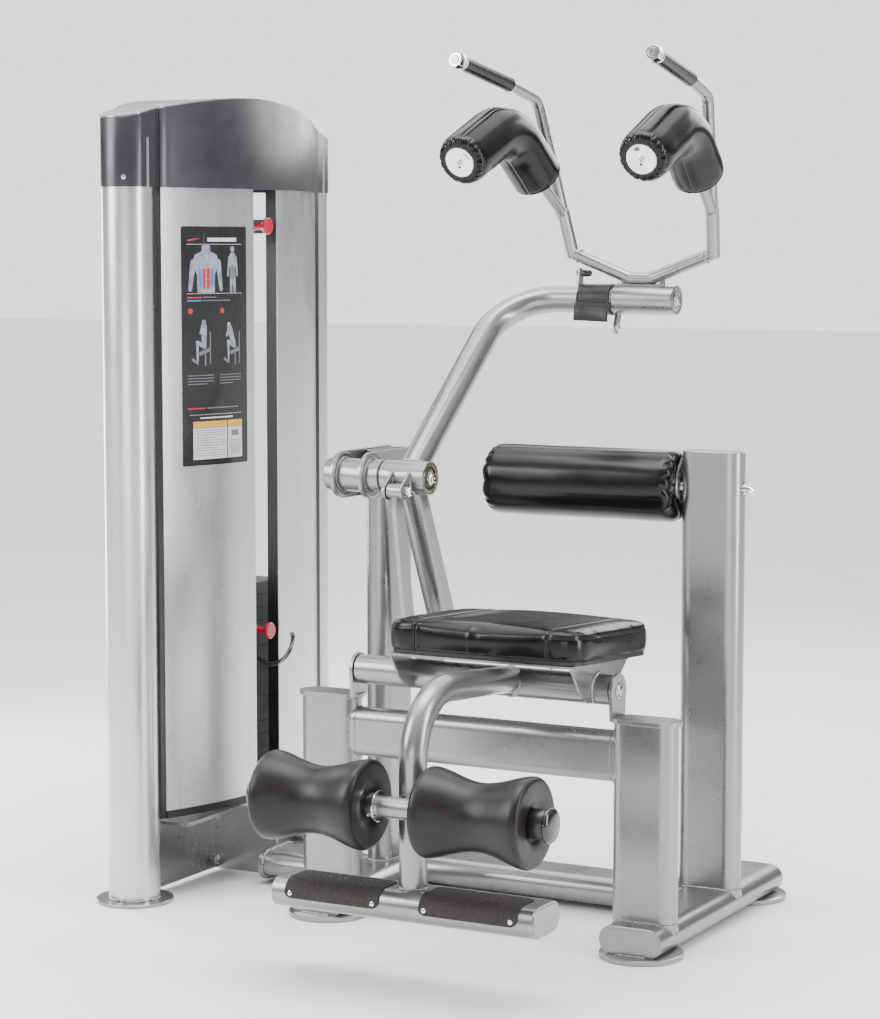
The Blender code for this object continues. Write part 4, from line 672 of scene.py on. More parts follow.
def make_pivot_looks():
    """Welds, bearing and bolts round the arm pivot, and the seat pivot's pin heads."""
    centre = (0, PIVOT_Y, PIVOT_Z)
    half = OVAL_THIN / 2 + GAP
    edges = [ARM_POST_X - half - PLATE - 0.0008, ARM_POST_X - half + 0.0008, ARM_POST_X + half - 0.0008,
             ARM_POST_X + half + PLATE + 0.0008]
    welds = [bead(loop_about((x, *centre[1:]), (1, 0, 0), PIVOT_TUBE + 0.0012), 0.0026, closed=True,
                  side=(1, 0, 0)) for x in edges]
    merged("pivot_housing_welds", welds, "weld", "frame")
    rims = []
    for low in (ARM_POST_X - half - PLATE, ARM_POST_X + half):
        for x, out in ((low, -1), (low + PLATE, 1)):
            rims.append(lathe((x, *centre[1:]), (out, 0, 0),
                              [(-0.001, 0.0500), (0.0016, 0.0500), (0.0022, 0.0492), (0.0022, 0.0445),
                               (0.0010, 0.0435), (-0.001, 0.0435)], 64, True))
    merged("pivot_housing_rims", rims, "frame_paint", "frame")
    merged("pivot_barrel_cap", [lathe((-0.828, *centre[1:]), (-1, 0, 0),
                                      [(-0.001, 0.033), (0.0012, 0.0325), (0.0016, 0.0310), (0.0016, 0.004)],
                                      48)],
           "frame_paint", "frame")
    end = HUB_RIGHT
    merged("pivot_bearing_ring", [lathe((end, *centre[1:]), (1, 0, 0),
                                        [(-0.004, 0.0312), (-0.0012, 0.0312), (-0.0006, 0.0304),
                                         (-0.0006, 0.0272),
                                         (-0.0012, 0.0264), (-0.004, 0.0264)], 56, True)], "brass_zinc",
                                         "arm")
    merged("pivot_bearing_seal", [lathe((end, *centre[1:]), (1, 0, 0),
                                        [(-0.004, 0.0262), (-0.0020, 0.0262), (-0.0014, 0.0246),
                                         (-0.0020, 0.0212),
                                         (-0.004, 0.0212)], 56, True)], "black_trim", "arm")
    merged("pivot_bolt", hex_bolt((end + 0.0011, *centre[1:]), (1, 0, 0), 0.0185, 0.0085), "chrome", "frame")
    merged("hub_edge_ring", [lathe((HUB_LEFT, *centre[1:]), (1, 0, 0),
                                   [(0.0, PIVOT_TUBE - 0.0012), (0.0, PIVOT_TUBE + 0.0004),
                                    (0.0035, PIVOT_TUBE + 0.0004), (0.0042, PIVOT_TUBE - 0.0012)], 56, True)],
           "black_trim", "arm")
    clevis = hex_bolt((ARM_X + 0.0318, *LINK_TOP), (1, 0, 0), 0.0150, 0.0070)
    clevis += [rivet((ARM_X - 0.0308, *LINK_TOP), (-1, 0, 0), 0.0095, 0.004)]
    merged("clevis_bolt", clevis, "chrome", "arm")
    merged("link_pin_head", [rivet((ARM_X + 0.0118, *LINK_LOW), (1, 0, 0), 0.0078, 0.003)], "steel", "seat")
    toward = Vector((0, YOKE_Y - PIVOT_Y, YOKE_Z - PIVOT_Z))
    lever = Vector((0, 0.418, -0.908))
    arm_welds = [bead(saddle((ARM_X, *centre[1:]), toward, ARM_RADIUS + 0.0006, (1, 0, 0),
                             PIVOT_TUBE + 0.0006),
                      0.0025, closed=True, side=(1, 0, 0))]
    lines = []
    for side in (-1, 1):
        for low in (ARM_X - 0.024, ARM_X + 0.018):
            x = low - 0.0005 if side < 0 else low + 0.0065
            lines.append([(x, PIVOT_Y + (PIVOT_TUBE + 0.0008) * math.cos(a), PIVOT_Z + (PIVOT_TUBE + 0.0008)
                           * math.sin(a)) for a in (math.radians(178 + 9 * i) for i in range(9))])
    arm_welds += [bead(line, 0.0021, side=(1, 0, 0)) for line in lines]
    arm_welds.append(bead(saddle((ARM_X, *centre[1:]), lever, 0.0252, (1, 0, 0), PIVOT_TUBE + 0.0006), 0.0024,
                          closed=True, side=(1, 0, 0)))
    merged("arm_hub_welds", arm_welds, "weld", "arm")

    heads = []
    for sign, ear in ((1, -0.0665), (-1, LEFT_X + 0.0665)):
        out = ear + sign * 0.004
        heads.append(rivet((out, 0, SEAT_PIVOT_Z), (sign, 0, 0), 0.0135, 0.0075, 32))
        heads.append(lathe((out, 0, SEAT_PIVOT_Z), (sign, 0, 0), [(0.0, 0.0175), (0.0012, 0.0175),
                                                                (0.0018, 0.0166), (0.0018, 0.012)], 40))
    merged("seat_pivot_heads", heads, "steel", "frame")


def make_arm_looks():
    corner = (ARM_CORNER_X, YOKE_Y, YOKE_Z)
    start = Vector((ARM_X, PIVOT_Y, PIVOT_Z))
    start += (Vector(corner) - start).normalized() * 0.0208
    path = bent_path([start, corner, (YOKE_LEFT - 0.0015, YOKE_Y, YOKE_Z)], 0.135, 30)
    parts = [tube(path, ARM_RADIUS, sides=56, ease=0.001)]
    parts.append(lathe((0, YOKE_Y, YOKE_Z), (1, 0, 0), [(YOKE_LEFT - 0.02, YOKE_STUD), (YOKE_RIGHT - 0.0045,
                                                              YOKE_STUD),
                                                        (YOKE_RIGHT - 0.004, YOKE_STUD - 0.0006)], 48))
    tab = [(YOKE_Y - 0.012, YOKE_Z + 0.026), (YOKE_Y + 0.014, YOKE_Z + 0.026),
           (YOKE_Y + 0.012, YOKE_Z + 0.066),
           (YOKE_Y + 0.006, YOKE_Z + 0.072), (YOKE_Y - 0.002, YOKE_Z + 0.073)]
    parts.append(plate(tab, "X", WRAP_LEFT - 0.011, WRAP_LEFT - 0.003))
    merged("arm_tube_look", parts, "frame_paint", "arm", node="arm_tube")
    knob = [(0.0, 0.0045), (0.003, 0.0078), (0.010, 0.0082), (0.022, 0.0072), (0.026, 0.0050), (0.027, 0.001)]
    merged("stop_knob", [lathe((WRAP_LEFT - 0.003, YOKE_Y, YOKE_Z + 0.060), (1, 0, 0), knob, 28)], "rubber",
           "arm")
    nut = hex_bolt((WRAP_LEFT - 0.011, YOKE_Y, YOKE_Z + 0.060), (-1, 0, 0), 0.011, 0.0045)
    end = (YOKE_RIGHT, YOKE_Y, YOKE_Z)
    ring = lathe(end, (1, 0, 0), [(-0.004, 0.0258), (-0.0016, 0.0258), (-0.0010, 0.0250), (-0.0010, 0.0205),
                                  (-0.0022, 0.0195), (-0.004, 0.0195)], 48, True)
    merged("yoke_end_ring", [ring], "steel", "arm")
    merged("yoke_end_bolt", hex_bolt((YOKE_RIGHT - 0.0028, YOKE_Y, YOKE_Z), (1, 0, 0), 0.0190, 0.0088) + nut,
           "chrome", "arm")


def yoke_points(side):
    """Handle and pad guide points on one side of the yoke."""
    def place(offset, y, z):
        return Vector((USER_X + side * offset, y, z))
    return {
        "v_end": place(0.1700, 0.643, 1.443), "knee": place(0.1760, 0.640, 1.448),
        "branch": place(0.1850, 0.611, 1.533), "bend": place(0.2085, 0.521, 1.792),
        "grip_start": place(0.2175, 0.419, 1.8165), "grip_end": place(0.2320, 0.178, 1.8600),
        "disc": place(0.2145, 0.158, 1.6420), "pad_bend": place(0.2090, 0.364, 1.7310),
        "pad_low": place(0.1965, 0.515, 1.6060),
    }


def make_yoke_looks():
    parts, beads, lumps = [], [], []
    left, right = yoke_points(-1), yoke_points(1)
    low_z = YOKE_Z + YOKE_RADIUS + V_LOOK + GAP
    middle = [Vector((USER_X + s * 0.026, YOKE_Y, low_z)) for s in (-1, 1)]
    parts.append(tube(bent_path([left["v_end"], middle[0], middle[1], right["v_end"]], 0.024, 10), V_LOOK,
                      (0, 1, 0), 32))
    for mark in (left, right):
        upward = (mark["branch"] - mark["knee"]).normalized()
        parts.append(tube([mark["knee"] - upward * 0.012, mark["branch"] + upward * 0.010], UPRIGHT_RADIUS,
                          sides=36))
        handle = bent_path([mark["branch"] - (mark["bend"] - mark["branch"]).normalized() * 0.02,
                            mark["bend"], mark["grip_start"], mark["grip_end"]], 0.040, 12)
        parts.append(tube(handle, HANDLE_LOOK, sides=32))
        stub = (mark["pad_low"] - mark["branch"]).normalized()
        parts.append(tube([mark["branch"] - stub * 0.010, mark["pad_low"] + stub * 0.002], 0.0125, sides=32))
        toward = (middle[0] if mark is left else middle[1]) - mark["v_end"]
        beads.append(bead(loop_about(mark["v_end"] + toward.normalized() * 0.0135, toward, V_LOOK + 0.0006),
                          0.0020, closed=True, side=toward.normalized()))
        beads.append(bead(loop_about(mark["branch"] + upward * 0.011, upward, HANDLE_LOOK + 0.0012), 0.0020,
                          closed=True, side=upward))
        beads.append(bead(loop_about(mark["branch"] + stub * 0.015, stub, 0.0128), 0.0019, closed=True,
                          side=stub))
    for side in (-1, 1):
        x = USER_X + side * 0.048
        lumps.append(plate([(YOKE_Y - 0.006, YOKE_Z + 0.030), (YOKE_Y + 0.006, YOKE_Z + 0.030),
                            (YOKE_Y + 0.005, YOKE_Z + 0.052), (YOKE_Y - 0.005, YOKE_Z + 0.052)], "X",
                            x - 0.009,
                           x + 0.009, 0.002))
        beads.append(bead([(x - 0.012, YOKE_Y - 0.0075, YOKE_Z + 0.0335), (x + 0.012, YOKE_Y - 0.0075,
                                                                          YOKE_Z + 0.0335)], 0.0028))
    for y in (-0.009, 0.009):
        beads.append(bead([(USER_X - 0.045, YOKE_Y + y, YOKE_Z + 0.0335), (USER_X + 0.045, YOKE_Y + y,
                                                                          YOKE_Z + 0.0335)], 0.0024))
    merged("yoke_frame_look", parts + lumps, "frame_paint", "yoke", node="yoke_frame")
    merged("yoke_welds", beads, "weld", "yoke")
    stop = hex_bolt((YOKE_LEFT + 0.009, YOKE_Y - 0.016, YOKE_Z - 0.062), (1, 0, 0), 0.012, 0.006)
    merged("yoke_stop_bolt", stop, "steel", "yoke")
    for side, label in ((-1, "left"), (1, "right")):
        make_grip_looks(label, yoke_points(side))


def make_grip_looks(label, mark):
    along = (mark["grip_end"] - mark["grip_start"]).normalized()
    start = mark["grip_start"] + along * 0.018
    end = mark["grip_end"] - along * 0.016
    length = (end - start).length
    bore = HANDLE_LOOK + GAP
    profile = [(0.0, bore), (0.0, GRIP_RADIUS - 0.0012), (0.0012, GRIP_RADIUS + 0.0004),
               (0.005, GRIP_RADIUS + 0.0005), (0.007, GRIP_RADIUS), (length - 0.004, GRIP_RADIUS),
               (length - 0.0012, GRIP_RADIUS - 0.0002), (length, GRIP_RADIUS - 0.0016), (length, bore)]
    merged(label + "_grip_look", [lathe(start, along, profile, 56, True)], "rubber", "yoke",
           node=label + "_grip")
    ring = lathe(start - along * 0.0034, along, [(0.0, bore), (0.0, 0.0146), (0.0006, 0.0152),
                                                 (0.0024, 0.0152),
                                               (0.0030, 0.0146), (0.0030, bore)], 48, True)
    front = lathe(end, along, [(-0.0030, GRIP_RADIUS + 0.0002), (-0.0024, 0.0180), (-0.0006, 0.0182),
                               (0.0, 0.0178), (0.0, GRIP_RADIUS)], 56, True)
    face = end + along * 0.0262
    inset = lathe(face, along, [(-0.001, 0.0112), (0.0010, 0.0108), (0.0014, 0.0096), (0.0006, 0.0036),
                                (0.0006, 0.0006)], 40)
    merged(label + "_grip_rings", [ring, front], "chrome", "yoke")
    merged(label + "_grip_inset", [inset], "steel", "yoke")


def make_leg_looks():
    down = Vector((USER_X, LEG_Y, FOOT_BAR_Z + FOOT_BAR_THIN / 2 - 0.004))
    path = bent_path([(USER_X, -0.0148, 0.5559), (USER_X, LEG_Y, 0.5880), down], 0.130, 30)
    merged("leg_tube_look", [tube(path, LEG_RADIUS, sides=56)], "frame_paint", "seat", node="leg_tube")
    oval_tube("foot_bar", "X", (LEG_Y, FOOT_BAR_Z), FOOT_BAR_WIDE, FOOT_BAR_THIN, USER_X - FOOT_BAR_HALF,
              USER_X + FOOT_BAR_HALF, "seat")
    caps = []
    for side in (-1, 1):
        x = USER_X + side * FOOT_BAR_HALF
        ends = sorted((x - side * 0.001, x + side * 0.0014))
        caps.append(plate([(LEG_Y + u, FOOT_BAR_Z + v) for u, v in oval(FOOT_BAR_WIDE - 0.009,
                                                                        FOOT_BAR_THIN - 0.009)], "X", *ends))
    merged("foot_bar_caps", caps, "frame_paint", "seat")
    centre = Vector((USER_X, LEG_Y, 0))
    ring = LEG_RADIUS + 0.0006
    beads = [bead([centre + Vector((ring * math.cos(a), ring * math.sin(a),
                                    FOOT_BAR_Z + FOOT_BAR_THIN / 2 + 0.0012))
                   for a in (math.radians(9 * i) for i in range(40))], closed=True)]
    beads.append(bead(saddle((USER_X, 0, SEAT_PIVOT_Z), (0, -1, 0.075), LEG_RADIUS + 0.0006, (1, 0, 0),
                             SEAT_TUBE + 0.0006), 0.0024, closed=True, side=(1, 0, 0)))
    beads.append(bead(saddle((USER_X, ROLLER_Y, ROLLER_Z), (0, 1, 0), 0.0218, (0, 0, 1), 0.0291), 0.0010,
                      closed=True, side=(0, 0, 1)))
    for x in (BRACKET_RIGHT + 0.0012, BRACKET_LEFT - 0.0012):
        beads.append(bead(loop_about((x, 0, SEAT_PIVOT_Z), (1, 0, 0), SEAT_TUBE + 0.0012, start=-10, end=190),
                          0.0032, side=(1, 0, 0)))
    merged("seat_frame_welds", beads, "weld", "seat")
    make_shaft_looks()
    make_tread_looks()
    bolts = []
    drop = math.tan(SEAT_TILT)
    for x in (BRACKET_LEFT + 0.052, BRACKET_RIGHT - 0.052):
        for y in (SEAT_FRONT + 0.036, 0.110):
            z = SEAT_FRONT_Z - 0.0115 - (y - SEAT_FRONT) * drop
            bolts += hex_bolt((x, y, z), (0, 0, -1), 0.011, 0.005)
    merged("seat_fixing_bolts", bolts, "chrome", "seat")


def make_shaft_looks():
    """Silver shaft between the rollers, dark stubs beyond them, and glossy domed end plugs."""
    axis_at = (0, ROLLER_Y, ROLLER_Z)
    inner = ROLLER_IN + 0.010
    middle = lathe((USER_X, *axis_at[1:]), (1, 0, 0), [(-inner, SHAFT_RADIUS), (inner, SHAFT_RADIUS)], 48)
    merged("roller_shaft_look", [middle], "frame_paint", "seat", node="roller_shaft")
    stubs, plugs, screws = [], [], []
    for side, label in ((-1, "left"), (1, "right")):
        out = (side, 0, 0)
        base = (USER_X, *axis_at[1:])
        stubs.append(lathe(base, out, [(inner + 0.0002, SHAFT_RADIUS - 0.0002),
                                       (ROLLER_OUT - 0.006, SHAFT_RADIUS - 0.0002),
                                       (ROLLER_OUT - 0.005, 0.0290), (ROLLER_OUT + 0.001, 0.0296),
                                       (ROLLER_OUT + 0.026, 0.0296), (ROLLER_OUT + 0.0275, 0.0285)], 48))
        plugs.append(lathe(base, out, [(ROLLER_OUT + 0.0268, 0.0300), (ROLLER_OUT + 0.0272, 0.0342),
                                       (ROLLER_OUT + 0.0285, 0.0350), (ROLLER_OUT + 0.0320, 0.0350),
                                       (ROLLER_OUT + 0.0345, 0.0335), (ROLLER_OUT + 0.0375, 0.0290),
                                       (ROLLER_OUT + 0.0398, 0.0215), (ROLLER_OUT + 0.0410, 0.0120),
                                       (ROLLER_OUT + 0.0414, 0.0030)], 56))
        near, far = ROLLER_IN - 0.0175, ROLLER_IN - 0.001
        collar = lathe(base, out, [(near, SHAFT_RADIUS + GAP), (near, 0.0300), (near + 0.0012, 0.0312),
                                   (far - 0.0012, 0.0312), (far, 0.0300), (far, SHAFT_RADIUS + GAP)], 56,
                                   True)
        merged(label + "_collar_look", [collar], "chrome", "seat", node=label + "_shaft_collar")
        for angle in (205, 300):
            a = math.radians(angle)
            outward = Vector((0, math.cos(a), math.sin(a)))
            spot = Vector((USER_X + side * (near + far) / 2, ROLLER_Y, ROLLER_Z)) + outward * 0.0308
            screws.append(lathe(spot, outward, [(0.0, 0.0040), (0.0009, 0.0040), (0.0012, 0.0034),
                                                (0.0004, 0.0020), (0.0004, 0.0004)], 20))
    merged("roller_stubs", stubs, "rubber", "seat")
    merged("roller_end_plugs", plugs, "gloss_black", "seat", "rubber")
    merged("collar_screws", screws, "steel", "seat")


def make_tread_looks():
    """Gritty sheets over the foot bar with cut corners, and a rivet at each front corner."""
    reach = (FOOT_BAR_WIDE - FOOT_BAR_THIN) / 2
    radius = FOOT_BAR_THIN / 2 + GAP
    thick = 0.0019
    rear = LEG_Y + reach * 0.75
    path = [(rear - (rear - (LEG_Y - reach)) * i / 10, FOOT_BAR_Z + radius, 0.0, 1.0) for i in range(10)]
    for i in range(17):
        a = math.radians(90 + 100 * i / 16)
        path.append((LEG_Y - reach + radius * math.cos(a), FOOT_BAR_Z + radius * math.sin(a), math.cos(a),
                     math.sin(a)))
    walked = [0.0]
    for p, q in zip(path, path[1:]):
        walked.append(walked[-1] + math.hypot(q[0] - p[0], q[1] - p[1]))
    corner = 0.013
    rivets = []
    for side, label in ((-1, "left"), (1, "right")):
        low, high = sorted((USER_X + side * 0.045, USER_X + side * (FOOT_BAR_HALF - 0.032)))
        rings = []
        across = 60
        for (y, z, ny, nz), s in zip(path, walked):
            near_end = min(s, walked[-1] - s)
            pull = corner - math.sqrt(max(corner ** 2 - max(corner - near_end, 0.0) ** 2, 0.0))
            row, under = [], []
            for k in range(across + 1):
                x = low + pull + (high - low - 2 * pull) * k / across
                lift = thick + 0.00035 * noise.noise(Vector((x, y, z)) * 420)
                row.append(at(x, y + ny * lift, z + nz * lift))
                under.append(at(x, y, z))
            rings.append(row + list(reversed(under)))
        merged(label + "_tread_look", [skin(rings)], "grit", "seat", smooth=60, node=label + "_foot_tread")
        a = math.radians(172)
        spot_y = LEG_Y - reach + (radius + thick - 0.0003) * math.cos(a)
        spot_z = FOOT_BAR_Z + (radius + thick - 0.0003) * math.sin(a)
        for x in (low + 0.013, high - 0.013):
            rivets.append(rivet((x, spot_y, spot_z), (0, math.cos(a), math.sin(a)), 0.0052, 0.0026, 28))
    merged("tread_rivets", rivets, "chrome", "seat")


# ------------------------------------------------------------------ soft goods
def inflate(obj, pinned, pressure, cap, frames=20):
    """Swell a closed cover under pressure as cloth, holding the pinned points; moves stay under cap."""
    mesh = obj.data
    rest = [v.co.copy() for v in mesh.vertices]
    group = obj.vertex_groups.new(name="pin")
    group.add(sorted(pinned), 1.0, "REPLACE")
    cloth = obj.modifiers.new("cloth", "CLOTH")
    settings = cloth.settings
    settings.quality = 6
    settings.mass = 0.25
    settings.tension_stiffness = settings.compression_stiffness = 22
    settings.shear_stiffness = 8
    settings.bending_stiffness = 1.2
    settings.use_pressure = True
    settings.uniform_pressure_force = pressure
    settings.vertex_group_mass = "pin"
    settings.effector_weights.gravity = 0
    scene = bpy.context.scene
    for step in range(1, frames + 1):
        scene.frame_set(step)
    graph = bpy.context.evaluated_depsgraph_get()
    swollen = obj.evaluated_get(graph).to_mesh()
    ends = [v.co.copy() for v in swollen.vertices]
    obj.evaluated_get(graph).to_mesh_clear()
    obj.modifiers.remove(cloth)
    obj.vertex_groups.remove(group)
    scene.frame_set(1)
    for v, start, end in zip(mesh.vertices, rest, ends):
        move = end - start
        if move.length > cap:
            move *= cap / move.length
        v.co = start + move


def soft_piece(name, points, faces, material, body, node):
    obj = piece(name, points, faces, material, body, smooth=80, node=node)
    obj.data.set_sharp_from_angle(angle=math.radians(89))
    return obj


def crowned_block(half_x, half_y, corner):
    """Points on the seat's outline in plan, round corners, without a duplicate."""
    ring = []
    for index, (sx, sy) in enumerate(((1, 1), (-1, 1), (-1, -1), (1, -1))):
        for i in range(9):
            a = math.pi / 2 * (index + i / 8)
            ring.append((sx * (half_x - corner) + corner * math.cos(a), sy * (half_y - corner)
                         + corner * math.sin(a)))
    return ring


def seat_frame(u, v, height):
    """A place on the tilted seat: u across, v back, height off its underside."""
    drop = math.tan(SEAT_TILT)
    depth = SEAT_REAR - SEAT_FRONT
    return at(SEAT_X + u, (SEAT_FRONT + SEAT_REAR) / 2 + v,
              SEAT_FRONT_Z - depth / 2 * drop + height - v * drop)


def make_seat():
    half_x, half_y = SEAT_WIDTH / 2, (SEAT_REAR - SEAT_FRONT) / 2
    rings = []
    for height, inset in ((0.0005, 0.014), (0.005, 0.005), (0.012, 0.0030), (0.030, 0.0024),
                          (SEAT_THICK - 0.020, 0.0030), (SEAT_THICK - 0.011, 0.0060),
                          (SEAT_THICK - 0.006, 0.0110),
                          (SEAT_THICK - 0.003, 0.0230), (SEAT_THICK - 0.001, 0.0480)):
        rings.append([seat_frame(u, v, height + 0.004 * max(0.0, v / half_y) * (height > 0.05))
                      for u, v in crowned_block(half_x - inset, half_y - inset, SEAT_CORNER - inset * 0.4)])
    seat = soft_piece("seat_cushion", *skin(rings), "vinyl", "seat", "seat_pad")
    remesh = seat.modifiers.new("remesh", "REMESH")
    remesh.mode = "VOXEL"
    remesh.voxel_size = 0.0055
    graph = bpy.context.evaluated_depsgraph_get()
    whole = bpy.data.meshes.new_from_object(seat.evaluated_get(graph))
    seat.modifiers.clear()
    seat.data = whole
    seat.data.shade_smooth()
    middle = seat_frame(0, 0, 0)
    tilt = Matrix.Rotation(SEAT_TILT, 3, "X")

    def local(co):
        return tilt @ (co - middle)

    seams = [x - SEAT_X for x in SEAT_SEAMS]
    pinned = set()
    for v in whole.vertices:
        place = local(v.co)
        if place.z < 0.009 or min(abs(place.x - s) for s in seams) < 0.0035:
            pinned.add(v.index)
    inflate(seat, pinned, 5.0, 0.0065)
    finer = seat.modifiers.new("finer", "SUBSURF")
    finer.levels = finer.render_levels = 1
    graph = bpy.context.evaluated_depsgraph_get()
    seat.data = bpy.data.meshes.new_from_object(seat.evaluated_get(graph))
    seat.modifiers.clear()
    seat.data.shade_smooth()
    crease = -0.340 - SEAT_X
    for v, normal in [(v, v.normal.copy()) for v in seat.data.vertices]:
        place = local(v.co)
        if place.z < 0.007:
            continue
        move = 0.0
        for s in seams:
            gap = abs(place.x - s)
            move -= 0.0009 * math.exp(-(gap / 0.0040) ** 2)
            inside = (place.x - s) * (-1 if s > 0 else 1)
            if 0 < inside < 0.012:
                move += 0.0007 * math.sin(math.pi * inside / 0.012)
        front = math.exp(-((place.y + half_y) / 0.020) ** 2)
        move += 0.0007 * front * math.exp(-((place.x - crease) / 0.0045) ** 2)
        move -= 0.0005 * front * math.exp(-((place.x - crease - 0.016) / 0.010) ** 2)
        if abs(place.x - (seams[0] + seams[1]) / 2) > (seams[1] - seams[0]) / 2 - 0.001 and place.z < 0.066:
            move -= 0.0012 * math.exp(-((place.z - 0.0535) / 0.0028) ** 2)
        move += 0.0006 * noise.noise(Vector((place.x * 9, place.y * 9, place.z * 9)))
        v.co += normal * move
    tree = BVHTree.FromPolygons([v.co for v in seat.data.vertices],
                                [tuple(p.vertices) for p in seat.data.polygons])
    sew_seat(tree, seams, half_y)
    return seat


def hits_about(tree, centre, first, second, start, end, count=260, far=0.6):
    """Where rays from outside towards a centre, turning from first to second, meet a surface."""
    found = []
    for i in range(count + 1):
        a = math.radians(start + (end - start) * i / count)
        outward = (first * math.cos(a) + second * math.sin(a)).normalized()
        place, normal, _, _ = tree.ray_cast(centre + outward * far, -outward)
        if place is not None:
            found.append((place, normal))
    return found


def spaced_hits(found, step):
    """Hits again at even steps, each with its normal and direction."""
    walked = [0.0]
    for (p, _), (q, _) in zip(found, found[1:]):
        walked.append(walked[-1] + (q - p).length)
    made, index = [], 0
    count = int(walked[-1] / step)
    for k in range(count + 1):
        want = k * step
        while index < len(found) - 2 and walked[index + 1] < want:
            index += 1
        share = (want - walked[index]) / max(walked[index + 1] - walked[index], 1e-9)
        (p, n), (q, m) = found[index], found[index + 1]
        made.append((p.lerp(q, share), n.lerp(m, share).normalized(), (q - p).normalized()))
    return made


def stitch_row(spots, length=0.0030, radius=0.00042, lift=0.0001):
    """One small rounded stitch at each spot, lying along the seam."""
    shapes = []
    for place, normal, along in spots:
        side = normal.cross(along).normalized()
        rings = []
        for share, size in ((-0.5, 0.35), (-0.38, 0.85), (0.0, 1.0), (0.38, 0.85), (0.5, 0.35)):
            centre = place + along * length * share + normal * (lift + radius * (1 - abs(share) * 1.4))
            rings.append([centre + side * radius * size * math.cos(a) + normal * radius * size * math.sin(a)
                          for a in (math.pi / 3 * i for i in range(6))])
        shapes.append(skin(rings))
    return shapes


def seam_cord(spots, radius, lift=0.0):
    """Thin round line laid along a seam."""
    rings = []
    for place, normal, along in spots:
        side = normal.cross(along).normalized()
        centre = place + normal * lift
        rings.append([centre + side * radius * math.cos(a) + normal * radius * math.sin(a)
                      for a in (math.pi / 4 * i for i in range(8))])
    return skin(rings)


def sew_seat(tree, seams, half_y):
    """Rolled edges, dark seam lines and stitches of the seat cover."""
    up = Matrix.Rotation(-SEAT_TILT, 3, "X") @ Vector((0, 0, 1))
    back = Matrix.Rotation(-SEAT_TILT, 3, "X") @ Vector((0, 1, 0))
    across = Vector((1, 0, 0))
    cords, lines, stitches = [], [], []
    for seam, outward in zip(seams, (-1, 1)):
        centre = seat_frame(seam, 0, 0.030)
        found = hits_about(tree, centre, -back, up, -8, 188)
        cords.append(seam_cord(spaced_hits(found, 0.003), 0.0015, 0.0004))
        found = hits_about(tree, centre + across * outward * 0.0018, -back, up, -8, 188)
        lines.append(seam_cord(spaced_hits(found, 0.003), 0.0009, 0.0001))
        found = hits_about(tree, centre - across * outward * 0.0060, -back, up, -6, 186)
        stitches += stitch_row(spaced_hits(found, 0.0046))
        centre = seat_frame(seam, 0, 0.0535)
        found = hits_about(tree, centre, -back, across * outward, 0.6, 179.4)
        lines.append(seam_cord(spaced_hits(found, 0.003), 0.0005, -0.0001))
        found = hits_about(tree, centre - up * 0.0042, -back, across * outward, 1.0, 179.0)
        stitches += stitch_row(spaced_hits(found, 0.0046))
    found = hits_about(tree, seat_frame(0, 0, 0.0065), -back, across, 0, 359.5, 720)
    lines.append(seam_cord(spaced_hits(found, 0.003), 0.0008, 0.0))
    merged("seat_seam_rolls", cords, "vinyl", "seat")
    merged("seat_seam_lines", lines, "seam", "seat", "vinyl")
    merged("seat_stitches", stitches, "thread", "seat", "vinyl")
    board = []
    for height, inset in ((-0.0052, 0.010), (-0.0045, 0.008), (0.0035, 0.008), (0.0040, 0.010)):
        board.append([seat_frame(u, v, height) for u,
                      v in crowned_block(SEAT_WIDTH / 2 - inset, half_y - inset,
                                                                        SEAT_CORNER - 0.006)])
    merged("seat_board", [skin(board)], "black_trim", "seat", "vinyl")


def pleat(angle, count, sharp=0.55):
    """Gathered cloth: round ridges and sharp valleys, from 0 in a valley to 1 on a ridge."""
    return abs(math.sin(angle * count / 2)) ** sharp


